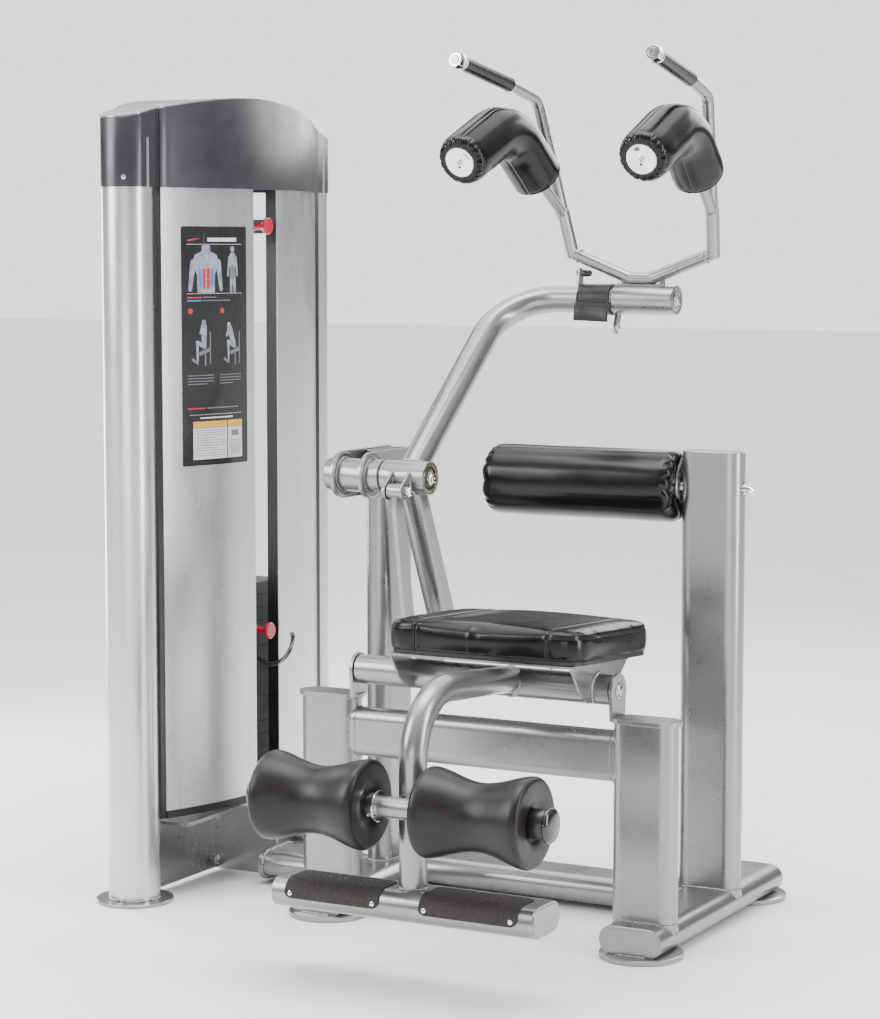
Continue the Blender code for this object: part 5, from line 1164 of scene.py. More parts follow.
def make_shoulder_pads():
    for side, label in ((-1, "left"), (1, "right")):
        mark = yoke_points(side)
        low_end = mark["pad_low"] + (mark["pad_bend"] - mark["pad_low"]).normalized() * 0.013
        path = resampled([at(*p) for p in bent_path([mark["disc"], mark["pad_bend"], low_end], 0.130,
                                                    24)], 0.0045)
        frames = frames_along(path)
        total = sum((b - a).length for a, b in zip(path, path[1:]))
        sides, body_radius = 168, PAD_RADIUS - 0.0022
        rings, pinned = [], set()
        first = frames[0]
        inner = [(-0.0010, 0.020), (-0.0016, 0.030), (-0.0018, 0.0345), (-0.0016, 0.0385), (-0.0006, 0.0425)]
        walked = [(shift, radius, first) for shift, radius in inner]
        step = total / (len(frames) - 1)
        for index, spot in enumerate(frames):
            s = index * step
            start_share = 1 - 0.215 * math.exp(-s / 0.0085)
            left = total - s
            end_share = 1 - 0.17 * math.exp(-left / 0.0060)
            walked.append((0.0, body_radius * start_share * end_share, spot))
        last = frames[-1]
        walked += [(0.0012, body_radius * 0.76, last), (0.0016, body_radius * 0.55, last),
                   (0.0016, body_radius * 0.25, last)]
        top_seam, low_seam = math.radians(-90 - side * 9), math.radians(90)
        for index, (shift, radius, (point, across, upward, tangent)) in enumerate(walked):
            s = max(0.0, (index - len(inner)) * step)
            gather = (math.exp(-((s - 0.002) / 0.011) ** 2) if index >= len(inner)
                      else 0.9 * (index / len(inner)))
            ring = []
            for k in range(sides):
                a = 2 * math.pi * k / sides
                fold = pleat(a + 0.35 * math.sin(5 * a), 30)
                out = radius + 0.0036 * gather * (fold - 0.62)
                pull = shift - 0.0018 * gather * (fold - 0.6)
                for seam in (top_seam, low_seam):
                    away = math.atan2(math.sin(a - seam), math.cos(a - seam)) * radius
                    if index > len(inner) + 2:
                        out -= 0.0015 * math.exp(-(away / 0.0030) ** 2)
                p = point + across * out * math.cos(a) + upward * out * math.sin(a) + tangent * pull
                out_soft = 0.0010 * noise.noise(p * 16) * min(1.0, s / 0.04)
                ring.append(p + (across * math.cos(a) + upward * math.sin(a)) * out_soft)
                near_seam = min(abs(math.atan2(math.sin(a - x), math.cos(a - x))) for x in (top_seam,
                                                              low_seam))
                if index < len(inner) + 3 or index > len(walked) - 6 or near_seam < 0.03:
                    pinned.add(index * sides + k)
            rings.append(ring)
        pad = soft_piece(label + "_shoulder_cushion", *skin(rings), "vinyl", "yoke", label + "_shoulder_pad")
        inflate(pad, pinned, 4.0, 0.0032)
        tree = BVHTree.FromPolygons([v.co for v in pad.data.vertices],
                                    [tuple(p.vertices) for p in pad.data.polygons])
        lines = []
        for seam in (top_seam, low_seam):
            found = []
            for point, across, upward, tangent in frames[3:-2]:
                outward = across * math.cos(seam) + upward * math.sin(seam)
                place, normal, _, _ = tree.ray_cast(point + outward * 0.12, -outward)
                if place is not None:
                    found.append((place, normal))
            lines.append(seam_cord(spaced_hits(found, 0.003), 0.00075, -0.0001))
        point, across, upward, tangent = frames[-3]
        rim = hits_about(tree, point, across, upward, 0, 359, 240, 0.12)
        rim.append(rim[0])
        merged(label + "_pad_piping", [seam_cord(spaced_hits(rim, 0.003), 0.0011, 0.0002)], "vinyl", "yoke")
        merged(label + "_pad_seams", lines, "seam", "yoke", "vinyl")
        make_pad_disc(label, mark, (path[0] - path[1]).normalized())


def make_pad_disc(label, mark, outward):
    """Dished bright washer with a raised rim, a centre screw and a small offset hole."""
    profile = [(0.0006, 0.0300), (0.0010, DISC_RADIUS - 0.0006), (0.0022, DISC_RADIUS),
               (0.0036, DISC_RADIUS - 0.0005),
               (0.0044, DISC_RADIUS - 0.0028), (0.0040, DISC_RADIUS - 0.0060), (0.0022, 0.0210),
               (0.0012, 0.0120), (0.0012, 0.0092), (0.0030, 0.0085), (0.0030, 0.0008)]
    disc = lathe(mark["disc"], outward, profile, 72)
    merged(label + "_disc_look", [disc], "chrome", "yoke", node=label + "_pad_disc")
    side = outward.orthogonal().normalized()
    screw = lathe(mark["disc"] + outward * 0.0030, outward,
                  [(0.0, 0.0058), (0.0016, 0.0056), (0.0024, 0.0046),
                                                            (0.0024, 0.0030), (0.0012, 0.0026),
                                                            (0.0012, 0.0004)],
                  28)
    down = Vector((0, 0, -1)) - outward * -outward.z
    spot = mark["disc"] + outward * 0.0013 + (down.normalized() + side * 0.6).normalized() * 0.0125
    hole = lathe(spot, outward, [(0.0, 0.0030), (0.0006, 0.0030), (0.0006, 0.0003)], 20)
    merged(label + "_disc_screw", [screw], "steel", "yoke")
    merged(label + "_disc_hole", [hole], "black_trim", "yoke")


def make_back_roller():
    sides, radius = 176, BACK_ROLLER_RADIUS - 0.0022
    left, right = BACK_ROLLER_LEFT, BACK_ROLLER_RIGHT
    stations = [(left + 0.0090, 0.0150), (left + 0.0060, 0.0260), (left + 0.0030, 0.0420),
                (left + 0.0016, 0.0560),
                (left + 0.0030, 0.0660), (left + 0.0080, 0.0730), (left + 0.0150, 0.0765),
                (left + 0.024, radius)]
    steps = 84
    stations += [(left + 0.024 + (right - left - 0.046) * i / steps, radius) for i in range(1, steps)]
    stations += [(right - 0.022, radius), (right - 0.014, 0.0768), (right - 0.0080, 0.0735),
                 (right - 0.0035, 0.0680),
                 (right - 0.0012, 0.0600), (right - 0.0030, 0.0500), (right - 0.0070, 0.0380),
                 (right - 0.0110, 0.0260), (right - 0.0130, 0.0150)]
    rings, pinned = [], set()
    for index, (x, size) in enumerate(stations):
        ring = []
        from_left, from_right = x - left, right - x
        for k in range(sides):
            a = 2 * math.pi * k / sides
            out, along = size, 0.0
            if from_left < 0.05:
                fold = pleat(a + 0.2 * math.sin(3 * a), 16, 0.7)
                weight = math.exp(-(from_left / 0.014) ** 2)
                out += 0.0050 * weight * (fold - 0.65) * min(1.0, size / 0.05)
                along += 0.0042 * weight * (0.6 - fold) * min(1.0, size / 0.05)
            if from_right < 0.05:
                fold = pleat(a + 0.25 * math.sin(2 * a + 1), 11, 0.62)
                weight = math.exp(-(from_right / 0.013) ** 2)
                out += 0.0050 * weight * (fold - 0.6) * min(1.0, size / 0.05)
                along -= 0.0075 * weight * (0.75 - fold) * min(1.0, size / 0.045)
            body = min(1.0, from_left / 0.04, from_right / 0.04)
            ripple = noise.noise(Vector((x * 9, math.cos(a) * 1.6, math.sin(a) * 1.6)))
            out += 0.0011 * ripple * body
            out -= 0.0009 * body * math.exp(-((a - math.radians(196)) / 0.018) ** 2)
            ring.append(at(x + along, TALL_POST_Y + out * math.cos(a), BACK_ROLLER_Z + out * math.sin(a)))
            if from_left < 0.016 or from_right < 0.014:
                pinned.add(index * sides + k)
        rings.append(ring)
    roller = soft_piece("back_roller_cushion", *skin(rings), "vinyl", "back_roll", "back_roller")
    inflate(roller, pinned, 4.0, 0.0032)
    centre = (0, TALL_POST_Y, BACK_ROLLER_Z)
    flange = [(right + 0.0006, 0.0140), (right + 0.0006, 0.0350), (right + 0.0016, 0.0362),
              (right + 0.0036, 0.0362), (right + 0.0044, 0.0352), (right + 0.0044, 0.0140)]
    merged("back_roller_flange", [lathe(centre, (1, 0, 0), flange, 64, True)], "steel", "frame")
    head = lathe((BACK_ROLLER_LEFT - 0.009, *centre[1:]), (-1, 0, 0), [(0.0, 0.0195), (0.002, 0.0195),
                                                                    (0.0035, 0.0180), (0.0035, 0.0060),
                                                                    (0.0015, 0.0050), (0.0015, 0.0005)], 48)
    merged("back_roller_hub_cap", [head], "rubber", "frame")


def make_foot_rollers():
    length = ROLLER_OUT - ROLLER_IN
    bore = SHAFT_RADIUS + 0.0012
    profile = [(0.006, bore), (0.006, 0.034), (0.0035, 0.038), (0.0008, 0.046), (0.0, ROLLER_END - 0.030),
               (0.0004, ROLLER_END - 0.016)]
    profile += [(0.011 - 0.011 * math.sin(a), ROLLER_END - 0.011 + 0.011 * math.cos(a))
                for a in (math.radians(80 - 10 * i) for i in range(8))]
    for step in range(1, 44):
        share = step / 44
        along = 0.012 + (length - 0.024) * share
        dip = math.sin(math.pi * share) ** 1.5
        profile.append((along, ROLLER_END - (ROLLER_END - ROLLER_WAIST) * dip))
    profile += [(length - x, r) for x, r in reversed(profile[:14])]
    for side, label, body in ((-1, "left", "left_roller"), (1, "right", "right_roller")):
        points, faces = lathe((USER_X + side * ROLLER_IN, ROLLER_Y, ROLLER_Z), (side, 0, 0), profile, 112,
                              True)
        centre = at(USER_X, ROLLER_Y, ROLLER_Z)
        for i, p in enumerate(points):
            out = Vector((0, p.y - centre.y, p.z - centre.z))
            if out.length > 0.05:
                points[i] = p + out.normalized() * 0.0007 * noise.noise(p * 14)
        foam = soft_piece(label + "_roller_foam", points, faces, "foam", body, label + "_foot_roller")


def make_wrap():
    """Stitched leather sleeve round the arm's end, with a hanging flap."""
    low, high = WRAP_LEFT, YOKE_LEFT - 0.006
    inner = ARM_RADIUS + GAP
    sides, along = 96, 40
    rings = []
    for k in range(along + 1):
        share = k / along
        x = low + (high - low) * share
        edge = min(share, 1 - share) * (high - low)
        roll = 0.0012 * math.exp(-((edge - 0.0022) / 0.0018) ** 2) - 0.0016 * math.exp(-edge / 0.0012)
        roll -= 0.0006 * math.exp(-((edge - 0.0062) / 0.0012) ** 2)
        ring = []
        for i in range(sides):
            a = 2 * math.pi * i / sides
            lump = 0.0006 * noise.noise(Vector((x * 30, math.cos(a) * 2, math.sin(a) * 2)))
            out = inner + 0.0046 + roll + lump
            ring.append(at(x, YOKE_Y + out * math.cos(a), YOKE_Z + out * math.sin(a)))
        rings.append(ring)
    for x in (high, low):
        rings.append([at(x, YOKE_Y + inner * math.cos(a), YOKE_Z + inner * math.sin(a))
                      for a in (2 * math.pi * i / sides for i in range(sides))])
    sleeve = soft_piece("bumper_wrap_sleeve", *skin(rings, True), "leather", "arm", "bumper_wrap")
    spots = []
    for x in (low + 0.0062, high - 0.0062):
        for i in range(52):
            a = 2 * math.pi * i / 52
            out = Vector((0, math.cos(a), math.sin(a)))
            spots.append((at(x, YOKE_Y, YOKE_Z) + out * (inner + 0.0043), out, Vector((0, -math.sin(a),
                                                                                     math.cos(a)))))
    path = []
    for i in range(25):
        share = i / 24
        path.append((YOKE_Y - 0.0335 - 0.0085 * share - 0.0030 * math.sin(math.pi * share),
                     YOKE_Z - 0.0060 - 0.0430 * share))
    left, right = low - 0.0010, high + 0.0040
    rings = []
    across = 44
    for i, (y, z) in enumerate(path):
        near = min(i, 24 - i) * 0.0018
        row, under = [], []
        for k in range(across + 1):
            x = left + (right - left) * k / across
            edge = min(x - left, right - x, near)
            groove = 0.0006 * math.exp(-((edge - 0.0060) / 0.0012) ** 2)
            puff = 0.0020 * (1 - math.exp(-edge / 0.0016)) - groove
            curl = 0.0030 * ((k / across - 0.5) * 2) ** 2 * (i / 24)
            wave = 0.0007 * noise.noise(Vector((k * 0.07, i * 0.09, 2)))
            row.append(at(x, y - 0.0014 - puff - curl + wave, z - 0.0030 * (k / across - 0.5)))
            under.append(at(x, y + 0.0006 - curl + wave, z - 0.0030 * (k / across - 0.5)))
        rings.append(row + list(reversed(under)))
    flap = soft_piece("bumper_wrap_flap", *skin(rings), "leather", "arm", None)
    tree = BVHTree.FromPolygons([v.co for v in flap.data.vertices], [tuple(p.vertices) for p in
                                                                   flap.data.polygons])
    border = [(left + 0.006, 0.14), (left + 0.006, 0.86), (right - 0.006, 0.86), (right - 0.006, 0.14)]
    for (xa, sa), (xb, sb) in zip(border, border[1:]):
        count = max(4, round(math.hypot(xb - xa, (sb - sa) * 0.045) / 0.0042))
        for i in range(count):
            t = i / count
            share = sa + (sb - sa) * t
            x = xa + (xb - xa) * t
            origin = at(x, YOKE_Y - 0.12, YOKE_Z - 0.0060 - 0.0430 * share)
            place, normal, _, _ = tree.ray_cast(origin, Vector((0, 1, 0)))
            if place is not None:
                direction = Vector((1, 0, 0)) if xa != xb else Vector((0, -0.2, -1)).normalized()
                spots.append((place, normal, direction))
    merged("bumper_wrap_stitches", stitch_row(spots, 0.0028, 0.00042), "thread", "arm", "leather")


# ----------------------------------------------------------------------- tower
def bow_x(y, grow=0.0):
    """X of the bowed tower face at a given y."""
    half = (TOWER_REAR - TOWER_FRONT) / 2 - 0.043
    reach = min(1.0, abs(y - TOWER_Y) / half)
    return PANEL_EDGE_X + (PANEL_CROWN_X - PANEL_EDGE_X) * (1 - reach ** 2.2) + grow


def upright_prism(outline, low, high):
    return skin([[at(x, y, z) for x, y in outline] for z in (low, high)])


def make_columns():
    for name, y in (("front_column", TOWER_FRONT), ("rear_column", TOWER_REAR)):
        shaft = lathe((TOWER_X, y, 0), (0, 0, 1), [(0.008, COLUMN_RADIUS), (COLUMN_TOP - 0.001,
                                                              COLUMN_RADIUS),
                                                   (COLUMN_TOP, COLUMN_RADIUS - 0.001)], 96)
        merged(name + "_look", [shaft], "panel_paint", "frame", node=name)
        foot = lathe((TOWER_X, y, 0), (0, 0, 1), [(0.0, 0.0862), (0.001, 0.0872), (0.0055, 0.0872),
                                                (0.0070, 0.0858)], 72)
        merged(name + "_foot", [foot], "frame_paint", "frame")
        beads = []
        for start in range(0, 360, 60):
            beads.append(bead(loop_about((TOWER_X, y, 0.0085), (0, 0, 1), COLUMN_RADIUS + 0.0010, 20, start,
                                         start + 44), 0.0027))
        merged(name + "_foot_welds", beads, "weld", "frame")
    line = [(TOWER_X + 0.0052, TOWER_LINK_Y - 0.0065, z) for z in (0.016, 0.150)]
    lines = [line, [(TOWER_X + 0.0046, TOWER_FRONT + COLUMN_RADIUS + 0.0008, z) for z in (0.012, 0.160)],
             [(TOWER_X + 0.0046, TOWER_REAR - COLUMN_RADIUS - 0.0008, z) for z in (0.012, 0.160)]]
    beads = [bead(line, 0.0026, side=(1, 0, 0)) for line in lines]
    ring = [(LINK_FLANGE_X + 0.0006, TOWER_LINK_Y + u, BASE_Z + 0.0015 + v) for u,
            v in oval(OVAL_WIDE + 0.002,
                                                                                       OVAL_THIN + 0.002)]
    beads.append(bead(ring, 0.0028, closed=True, side=(1, 0, 0)))
    merged("tower_web_welds", beads, "weld", "frame")
    bolts = []
    for z in (0.030, 0.138):
        bolts += hex_bolt((TOWER_X + 0.0142, TOWER_LINK_Y - 0.013, z), (1, 0, 0), 0.016, 0.007)
    merged("tower_web_bolts", bolts, "chrome", "frame")


def make_panel_looks():
    """Bowed covers with inward returns, black sheets as painted shade in the gaps beside them and in the slot,
    and a dark trim below.
    """
    sheet, steps = 0.0025, 36
    for name, start, end in (("front_panel", TOWER_FRONT + 0.043, TOWER_Y - SLOT_HALF),
                             ("rear_panel", TOWER_REAR - 0.043, TOWER_Y + SLOT_HALF)):
        ys = [start + (end - start) * i / steps for i in range(steps + 1)]
        toward = 1 if end > start else -1
        outer = [(bow_x(y), y) for y in ys]
        slot_x = outer[-1][0]
        outline = outer[:-1] + [(slot_x - 0.0006, end - toward * 0.0004), (slot_x - 0.0012, end)]
        outline += [(slot_x - 0.028, end), (slot_x - 0.028, end - toward * sheet)]
        outline += [(x - sheet, y) for x, y in reversed(outer[1:-1])]
        outline += [(outer[0][0] - sheet, start + toward * sheet),
                    (outer[0][0] - 0.020, start + toward * sheet),
                    (outer[0][0] - 0.020, start)]
        merged(name + "_look", [upright_prism(outline, PANEL_LOW, PANEL_TOP)], "panel_paint", "frame",
               node=name)
        trim = [(bow_x(y, 0.0012), y) for y in ys] + [(bow_x(y, -0.0045), y) for y in reversed(ys)]
        merged(name + "_trim", [upright_prism(trim, PANEL_LOW - 0.017, PANEL_LOW - 0.0002)], "black_trim",
               "frame")
        inner = [(bow_x(y, -0.0028), y) for y in ys] + [(bow_x(y, -0.0060), y) for y in reversed(ys)]
        merged(name + "_hem", [upright_prism(inner, PANEL_LOW - 0.0002, PANEL_LOW + 0.012)], "black_trim",
               "frame")
    # Black sheets between the columns and the panels and on the slot's return face: painted shade in these gaps.
    strips = []
    for low, high in ((TOWER_FRONT + 0.0250, TOWER_FRONT + 0.0425),
                      (TOWER_REAR - 0.0425, TOWER_REAR - 0.0250)):
        strips.append(box_shape((-1.1465, low, PANEL_LOW - 0.016), (-1.1405, high, PANEL_TOP)))
    slot_y = TOWER_Y + SLOT_HALF
    slot_x = bow_x(slot_y)
    strips.append(box_shape((slot_x - 0.030, slot_y - 0.0016, PANEL_LOW), (slot_x - 0.0028, slot_y - 0.0004,
                                                                        PANEL_TOP), 0.0002))
    merged("tower_gap_painted_shade", strips, "black_trim", "frame")


def cap_height(y):
    return CAP_CROWN - 0.335 * abs(y - CAP_CROWN_Y) ** 1.9


def cap_outline(grow=0.0):
    """Plan outline of the cap's right side: column noses at both ends, bowed face between."""
    nose = COLUMN_RADIUS + 0.0035 + grow
    right = [(TOWER_X + nose * math.cos(a), TOWER_FRONT + nose * math.sin(a))
             for a in (math.radians(-90 + 68 * i / 18) for i in range(19))]
    front_edge = TOWER_FRONT + 0.040
    right += [(PANEL_EDGE_X - 0.001 + grow, front_edge - 0.006), (PANEL_EDGE_X + 0.006 + grow, front_edge)]
    steps = 48
    span = TOWER_REAR - 0.040 - front_edge
    right += [(bow_x(front_edge + span * i / steps, 0.006 + grow), front_edge + span * i / steps)
              for i in range(1, steps)]
    right += [(PANEL_EDGE_X + 0.006 + grow, TOWER_REAR - 0.040),
              (PANEL_EDGE_X - 0.001 + grow, TOWER_REAR - 0.034)]
    right += [(TOWER_X + nose * math.cos(a), TOWER_REAR + nose * math.sin(a))
              for a in (math.radians(22 + 68 * i / 18) for i in range(19))]
    return right


def make_cap_looks():
    """Arched hood with an eased top edge, a pale sheet on its top as painted reflection of the light above,
    black bars as painted shade in grooves beside the noses, and two screws.
    """
    right = cap_outline()
    left = [(2 * TOWER_X - x, y) for x, y in reversed(right[1:-1])]
    outline = right + left
    rings = [[at(x, y, CAP_LOW) for x, y in outline]]
    rings.append([at(x, y, CAP_LOW + 0.0006) for x, y in outline])
    rings.append([at(x, y, cap_height(y) - 0.0022) for x, y in outline])
    for inset, drop in ((0.0007, 0.0008), (0.0024, 0.0)):
        share_x, share_y = 1 - inset / 0.09, 1 - inset / 0.41
        rings.append([at(TOWER_X + (x - TOWER_X) * share_x, TOWER_Y + (y - TOWER_Y) * share_y,
                         cap_height(y) - drop) for x, y in outline])
    wall = 0.0035
    inner = [(TOWER_X + (x - TOWER_X) * 0.955, TOWER_Y + (y - TOWER_Y) * 0.992) for x, y in outline]
    # Outline of the pale sheet that paints the overhead light's reflection on the cap top.
    sheen_outline = [(TOWER_X + (x - TOWER_X) * 0.955, TOWER_Y + (y - TOWER_Y) * 0.990) for x, y in outline]
    points, faces = skin(rings, capped=False)
    count = len(outline)
    base = len(points)
    points += [at(x, y, CAP_LOW) for x, y in inner] + [at(x, y, cap_height(y) - wall) for x, y in inner]
    for i in range(count):
        nxt = (i + 1) % count
        faces.append((base + nxt, base + i, base + count + i, base + count + nxt))
        faces.append((nxt, i, base + i, base + nxt))

    def across(first):
        half = count // 2
        for i in range(half):
            corners = [first + i, first + i + 1, first + (count - i - 1) % count, first + (count - i) % count]
            unique = list(dict.fromkeys(corners))
            if len(unique) >= 3:
                faces.append(tuple(unique))
    across(base - count)
    across(base + count)
    piece("tower_cap_look", points, faces, "cap_paint", "frame", node="tower_cap")
    # Pale sheet just above the dark cap top: painted reflection of the light above, not a lid.
    sheen_points = [at(x, y, cap_height(y) + h) for h in (0.0001, 0.0009) for x, y in sheen_outline]
    sheen_faces = [(i, (i + 1) % count, count + (i + 1) % count, count + i) for i in range(count)]
    for first in (0, count):
        for i in range(count // 2):
            corners = [first + i, first + i + 1, first + (count - i - 1) % count, first + (count - i) % count]
            unique = list(dict.fromkeys(corners))
            if len(unique) >= 3:
                sheen_faces.append(tuple(unique))
    piece("tower_cap_painted_sheen", sheen_points, sheen_faces, "panel_paint", "frame")
    # Black bars beside the noses: painted shade inside the grooves.
    grooves = []
    for y in (TOWER_FRONT + 0.0385, TOWER_REAR - 0.0385):
        for shift in (-0.0022, 0.0040):
            yy = y + shift * (1 if y < TOWER_Y else -1)
            x = PANEL_EDGE_X + (0.0065 if shift > 0 else 0.0030)
            grooves.append(box_shape((x - 0.004, yy - 0.0007, CAP_LOW + 0.001), (x, yy + 0.0007,
                                                                                cap_height(yy) - 0.004), 0.0002))
    merged("tower_cap_groove_shade", grooves, "black_trim", "frame")
    screws = []
    for y, sign in ((TOWER_FRONT, -1), (TOWER_REAR, 1)):
        a = math.radians(-62) if sign < 0 else math.radians(62)
        out = Vector((math.cos(a), math.sin(a), 0))
        spot = Vector((TOWER_X, y, CAP_LOW + 0.020)) + out * (COLUMN_RADIUS + 0.0034)
        screws.append(rivet(spot, out, 0.0052, 0.0022, 24))
    merged("tower_cap_screws", screws, "steel", "frame")


PULLEY_Z, PULLEY_RADIUS = 1.650, 0.046
BELT_WIDE, BELT_SHARE, BELT_LAP = 0.0190, 0.55, 0.040   # width, length of the lower run, overlap


def make_belt_looks():
    """Two thin runs that slide past each other: one rises with the plates, one hangs from the pulley."""
    low, top = STACK_TOP + 0.030 + GAP, PULLEY_Z - PULLEY_RADIUS - GAP
    half = BELT_WIDE / 2
    lower = box_shape((STACK_X - half, TOWER_Y - 0.0015, low),
                      (STACK_X + half, TOWER_Y - 0.0001, low + BELT_SHARE),
                      0.0003)
    upper = box_shape((STACK_X - half, TOWER_Y + 0.0001, low + BELT_SHARE - BELT_LAP),
                      (STACK_X + half, TOWER_Y + 0.0015, top), 0.0003)
    merged("lift_belt_look", [lower], "rubber", "stack", node="lift_belt")
    merged("lift_belt_upper_run", [upper], "rubber", "frame")


# --------------------------------------------------------------------- placard
PLACARD = (-0.028, 0.170, 0.972, 1.505)           # y from, y to, z from, z to


def on_panel(outline, lift, thick):
    """A thin plate with the given (share across, share down) outline, bent to the bowed panel."""
    y_low, y_high, z_low, z_high = PLACARD
    flat = [(y_low + (y_high - y_low) * u, z_high - (z_high - z_low) * v) for u, v in outline]
    bm = bmesh.new()
    verts = [bm.verts.new((0, y, z)) for y, z in flat]
    bm.faces.new(verts)
    low, high = min(p[0] for p in flat), max(p[0] for p in flat)
    cuts = int((high - low) / 0.010)
    for i in range(1, cuts + 1):
        y = low + (high - low) * i / (cuts + 1)
        bmesh.ops.bisect_plane(bm, geom=bm.verts[:] + bm.edges[:] + bm.faces[:], plane_co=(0, y, 0),
                               plane_no=(0, 1, 0))
    bm.verts.ensure_lookup_table()
    count = len(bm.verts)
    bm.verts.index_update()
    sheet = [(v.co.y, v.co.z) for v in bm.verts]
    faces = [tuple(v.index for v in f.verts) for f in bm.faces]
    rim = [(e.verts[0].index, e.verts[1].index) for e in bm.edges if e.is_boundary]
    bm.free()
    points = [at(bow_x(y, lift + h), y, z) for h in (0.0, thick) for y, z in sheet]
    solid = [tuple(i + count for i in f) for f in faces] + [tuple(reversed(f)) for f in faces]
    solid += [(a, b, b + count, a + count) for a, b in rim]
    return points, solid


def bar(u, v, wide, tall):
    return [(u, v), (u + wide, v), (u + wide, v + tall), (u, v + tall)]


def disc_outline(u, v, radius, sides=20):
    """Round dot; the share across is wider than the share down."""
    ratio = (PLACARD[1] - PLACARD[0]) / (PLACARD[3] - PLACARD[2])
    return [(u + radius * math.cos(a), v + radius * ratio * math.sin(a))
            for a in (2 * math.pi * i / sides for i in range(sides))]


def limb(u0, v0, u1, v1, wide0, wide1, arc=6):
    """Rounded tapering stroke between two points, in shares across."""
    ratio = (PLACARD[1] - PLACARD[0]) / (PLACARD[3] - PLACARD[2])
    start, end = Vector((u0, v0 / ratio)), Vector((u1, v1 / ratio))
    heading = math.atan2(end.y - start.y, end.x - start.x)
    ring = []
    for centre, radius, first in ((end, wide1 / 2, heading - math.pi / 2),
                                  (start, wide0 / 2, heading + math.pi / 2)):
        for i in range(arc + 1):
            a = first + math.pi * i / arc
            ring.append((centre.x + radius * math.cos(a), (centre.y + radius * math.sin(a)) * ratio))
    return ring


def seated_figure(u, v, lean):
    """Plain pictogram of someone seated on a block, leaning forward by a share."""
    hip, knee, foot = (u + 0.155, v + 0.135), (u + 0.055, v + 0.118), (u + 0.060, v + 0.195)
    neck = (hip[0] + 0.010 - lean * 0.10, hip[1] - 0.085 + lean * 0.018)
    head = (neck[0] + 0.005 - lean * 0.02, neck[1] - 0.018)
    pale = [disc_outline(*head, 0.030), limb(*neck, *hip, 0.085, 0.060), limb(*hip, *knee, 0.055, 0.042),
            limb(*knee, *foot, 0.038, 0.024), limb(neck[0], neck[1] + 0.008, neck[0] - 0.052, neck[1] + 0.028,
                                                   0.030, 0.022),
            limb(neck[0] - 0.052, neck[1] + 0.028, neck[0] - 0.022, neck[1] - 0.006, 0.022, 0.018)]
    grey = [limb(u + 0.10, v + 0.165, u + 0.225, v + 0.150, 0.045, 0.045),
            bar(u + 0.16, v + 0.168, 0.020, 0.050),
            bar(u + 0.235, v + 0.075, 0.016, 0.135), limb(u - 0.006, v + 0.190, u + 0.06, v + 0.205, 0.034,
                                                          0.030)]
    return pale, grey


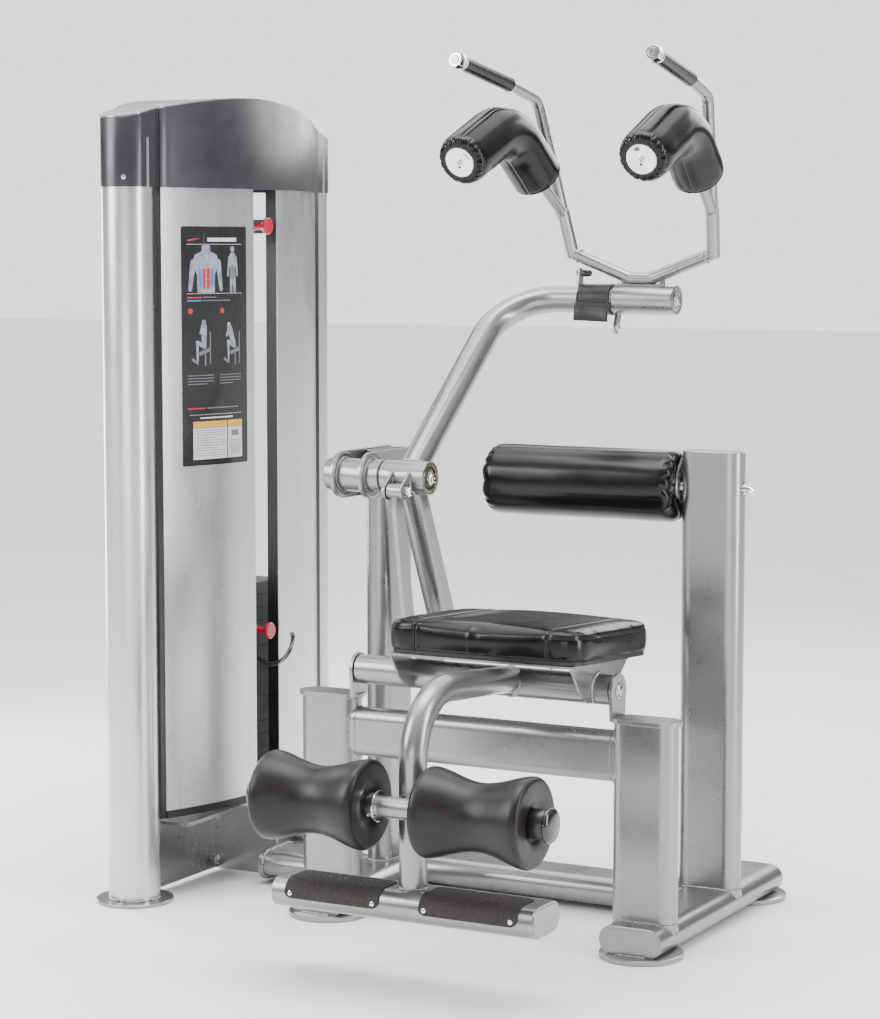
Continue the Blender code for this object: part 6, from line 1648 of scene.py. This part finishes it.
def make_placard():
    corner = 0.012
    frame_outline = [(corner, 0), (1 - corner, 0), (1, corner / 2), (1, 1 - corner / 2), (1 - corner, 1),
                     (corner, 1), (0, 1 - corner / 2), (0, corner / 2)]
    merged("placard_base", [on_panel(frame_outline, 0.0002, 0.0007)], "placard_black", "frame")
    layers = {"print_pale": [], "print_body": [], "print_grey": [], "print_red": [], "print_blue": [],
              "print_amber": []}
    layers["print_red"] += [limb(0.09, 0.058, 0.24, 0.050, 0.022, 0.010), bar(0.07, 0.293, 0.20, 0.006),
                            bar(0.07, 0.757, 0.24, 0.006), disc_outline(0.115, 0.352, 0.032),
                            disc_outline(0.580, 0.352, 0.032)]
    layers["print_pale"] += [bar(0.36, 0.047, 0.46, 0.016), bar(0.07, 0.0735, 0.84, 0.0016),
                             bar(0.07, 0.279, 0.84, 0.0014), bar(0.09, 0.786, 0.80, 0.0014),
                             bar(0.24, 0.798, 0.50, 0.006)]
    layers["print_grey"] += [bar(0.305, 0.028, 0.004, 0.042), bar(0.29, 0.293, 0.20, 0.004),
                             bar(0.29, 0.307, 0.42, 0.004), bar(0.34, 0.757, 0.50, 0.005)]
    layers["print_blue"] += [bar(0.07, 0.306, 0.20, 0.006)]
    torso = [(0.285, 0.078), (0.395, 0.078), (0.405, 0.104), (0.500, 0.118), (0.530, 0.150), (0.470, 0.200),
             (0.465, 0.276), (0.215, 0.276), (0.210, 0.200), (0.150, 0.150), (0.180, 0.118), (0.275, 0.104)]
    layers["print_body"] += [torso, limb(0.155, 0.150, 0.115, 0.262, 0.075, 0.050),
                             limb(0.525, 0.150, 0.565, 0.262, 0.075, 0.050),
                             disc_outline(0.755, 0.094, 0.034),
                             limb(0.755, 0.128, 0.755, 0.190, 0.110, 0.085),
                             limb(0.735, 0.190, 0.728, 0.272, 0.050, 0.036),
                             limb(0.780, 0.190, 0.788, 0.272, 0.050, 0.036),
                             limb(0.700, 0.130, 0.678, 0.205, 0.032, 0.024),
                             limb(0.812, 0.130, 0.836, 0.205, 0.032, 0.024)]
    for side in (-1, 1):
        layers["print_blue"].append(limb(0.34 + side * 0.092, 0.182, 0.34 + side * 0.080, 0.246, 0.046,
                                         0.040))
    for row in range(4):
        for side in (-1, 1):
            layers["print_red"].append(limb(0.34 + side * 0.030, 0.182 + row * 0.0215, 0.34 + side * 0.030,
                                            0.190 + row * 0.0215, 0.050 - row * 0.003, 0.050 - row * 0.003))
    layers["print_grey"].append(limb(0.755, 0.176, 0.755, 0.205, 0.092, 0.092))
    for u, lean in ((0.150, 0.15), (0.620, 0.85)):
        pale, grey = seated_figure(u, 0.365, lean)
        layers["print_body"] += pale
        layers["print_grey"] += grey
    for row in range(4):
        layers["print_grey"] += [bar(0.07, 0.620 + row * 0.012, 0.38 - 0.10 * (row == 3), 0.0035),
                                 bar(0.53, 0.620 + row * 0.012, 0.36 - 0.14 * (row == 3), 0.0035)]
    layers["print_amber"] += [bar(0.14, 0.815, 0.50, 0.026), bar(0.655, 0.815, 0.245, 0.026)]
    layers["print_pale"] += [bar(0.14, 0.843, 0.50, 0.132), bar(0.655, 0.843, 0.245, 0.132)]
    over = [bar(0.17, 0.852 + row * 0.0105, 0.44 - 0.12 * (row % 4 == 3), 0.0028) for row in range(11)]
    over += [bar(0.685, 0.900 + row * 0.0105, 0.185, 0.0028) for row in range(6)]
    over += [bar(0.715, 0.858, 0.12, 0.024)]
    for material, outlines in layers.items():
        lift = 0.00085 if material in ("print_red", "print_blue") else 0.00080
        body = "print_body" == material
        merged("placard_" + material, [on_panel(o, lift - 0.00008 * body, 0.00022) for o in outlines],
               material,
               "frame")
    merged("placard_fine_lines", [on_panel(o, 0.00100, 0.00010) for o in over], "print_grey", "frame")


# ------------------------------------------------------------------ pin tether
TETHER_ROUTE = [(-1.046, 0.309, 0.561), (-1.045, 0.315, 0.550), (-1.046, 0.309, 0.530),
                (-1.050, 0.296, 0.510), (-1.060, 0.282, 0.496), (-1.076, 0.272, 0.490),
                (-1.094, 0.270, 0.492), (-1.110, 0.272, 0.500), (-1.120, 0.274, 0.506)]
CORD_THICK, COIL_RADIUS, COIL_PITCH, TURN_POINTS = 0.0020, 0.0045, 0.0030, 14


def smooth_route(points, per_span):
    """Catmull-Rom points through a given route."""
    points = [Vector(point) for point in points]
    padded = [2 * points[0] - points[1]] + points + [2 * points[-1] - points[-2]]
    route = []
    for a, b, c, d in zip(padded, padded[1:], padded[2:], padded[3:]):
        for i in range(per_span):
            t = i / per_span
            route.append(0.5 * ((2 * b) + (c - a) * t + (2 * a - 5 * b + 4 * c - d) * t * t
                                + (3 * b - a - 3 * c + d) * t * t * t))
    route.append(points[-1])
    return route


def make_tether():
    """Curly cord of the selector pin: a close helix along the route, closing to its line at both ends."""
    line = resampled([at(*p) for p in smooth_route(TETHER_ROUTE, 12)], COIL_PITCH / TURN_POINTS)
    total = len(line) - 1
    points = []
    for index, (point, across, upward, tangent) in enumerate(frames_along(line, (0, 0, 1))):
        near = min(index, total - index) / TURN_POINTS
        radius = COIL_RADIUS * min(1.0, near / 0.8)
        a = 2 * math.pi * index / TURN_POINTS
        points.append(point + across * radius * math.cos(a) + upward * radius * math.sin(a))
    curve = bpy.data.curves.new("tether_coil", "CURVE")
    curve.dimensions = "3D"
    curve.bevel_depth = CORD_THICK / 2
    curve.bevel_resolution = 2
    curve.use_fill_caps = True
    spline = curve.splines.new("POLY")
    spline.points.add(len(points) - 1)
    for slot, point in zip(spline.points, points):
        slot.co = (*point, 1.0)
    curve.materials.append(MATERIALS["rubber"])
    tether = bpy.data.objects.new("tether_coil", curve)
    bpy.context.scene.collection.objects.link(tether)
    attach(tether, "selector")
    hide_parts("pin_tether")


MATERIALS = {}
make_camera()
MATERIALS.update(make_materials())
make_tether()
make_studio()
dress_nodes()
make_base_looks()
make_post_looks()
make_pivot_looks()
make_arm_looks()
make_yoke_looks()
make_leg_looks()
make_seat()
make_shoulder_pads()
make_back_roller()
make_foot_rollers()
make_wrap()
make_columns()
make_panel_looks()
make_cap_looks()
make_belt_looks()
make_placard()

bpy.context.view_layer.update()
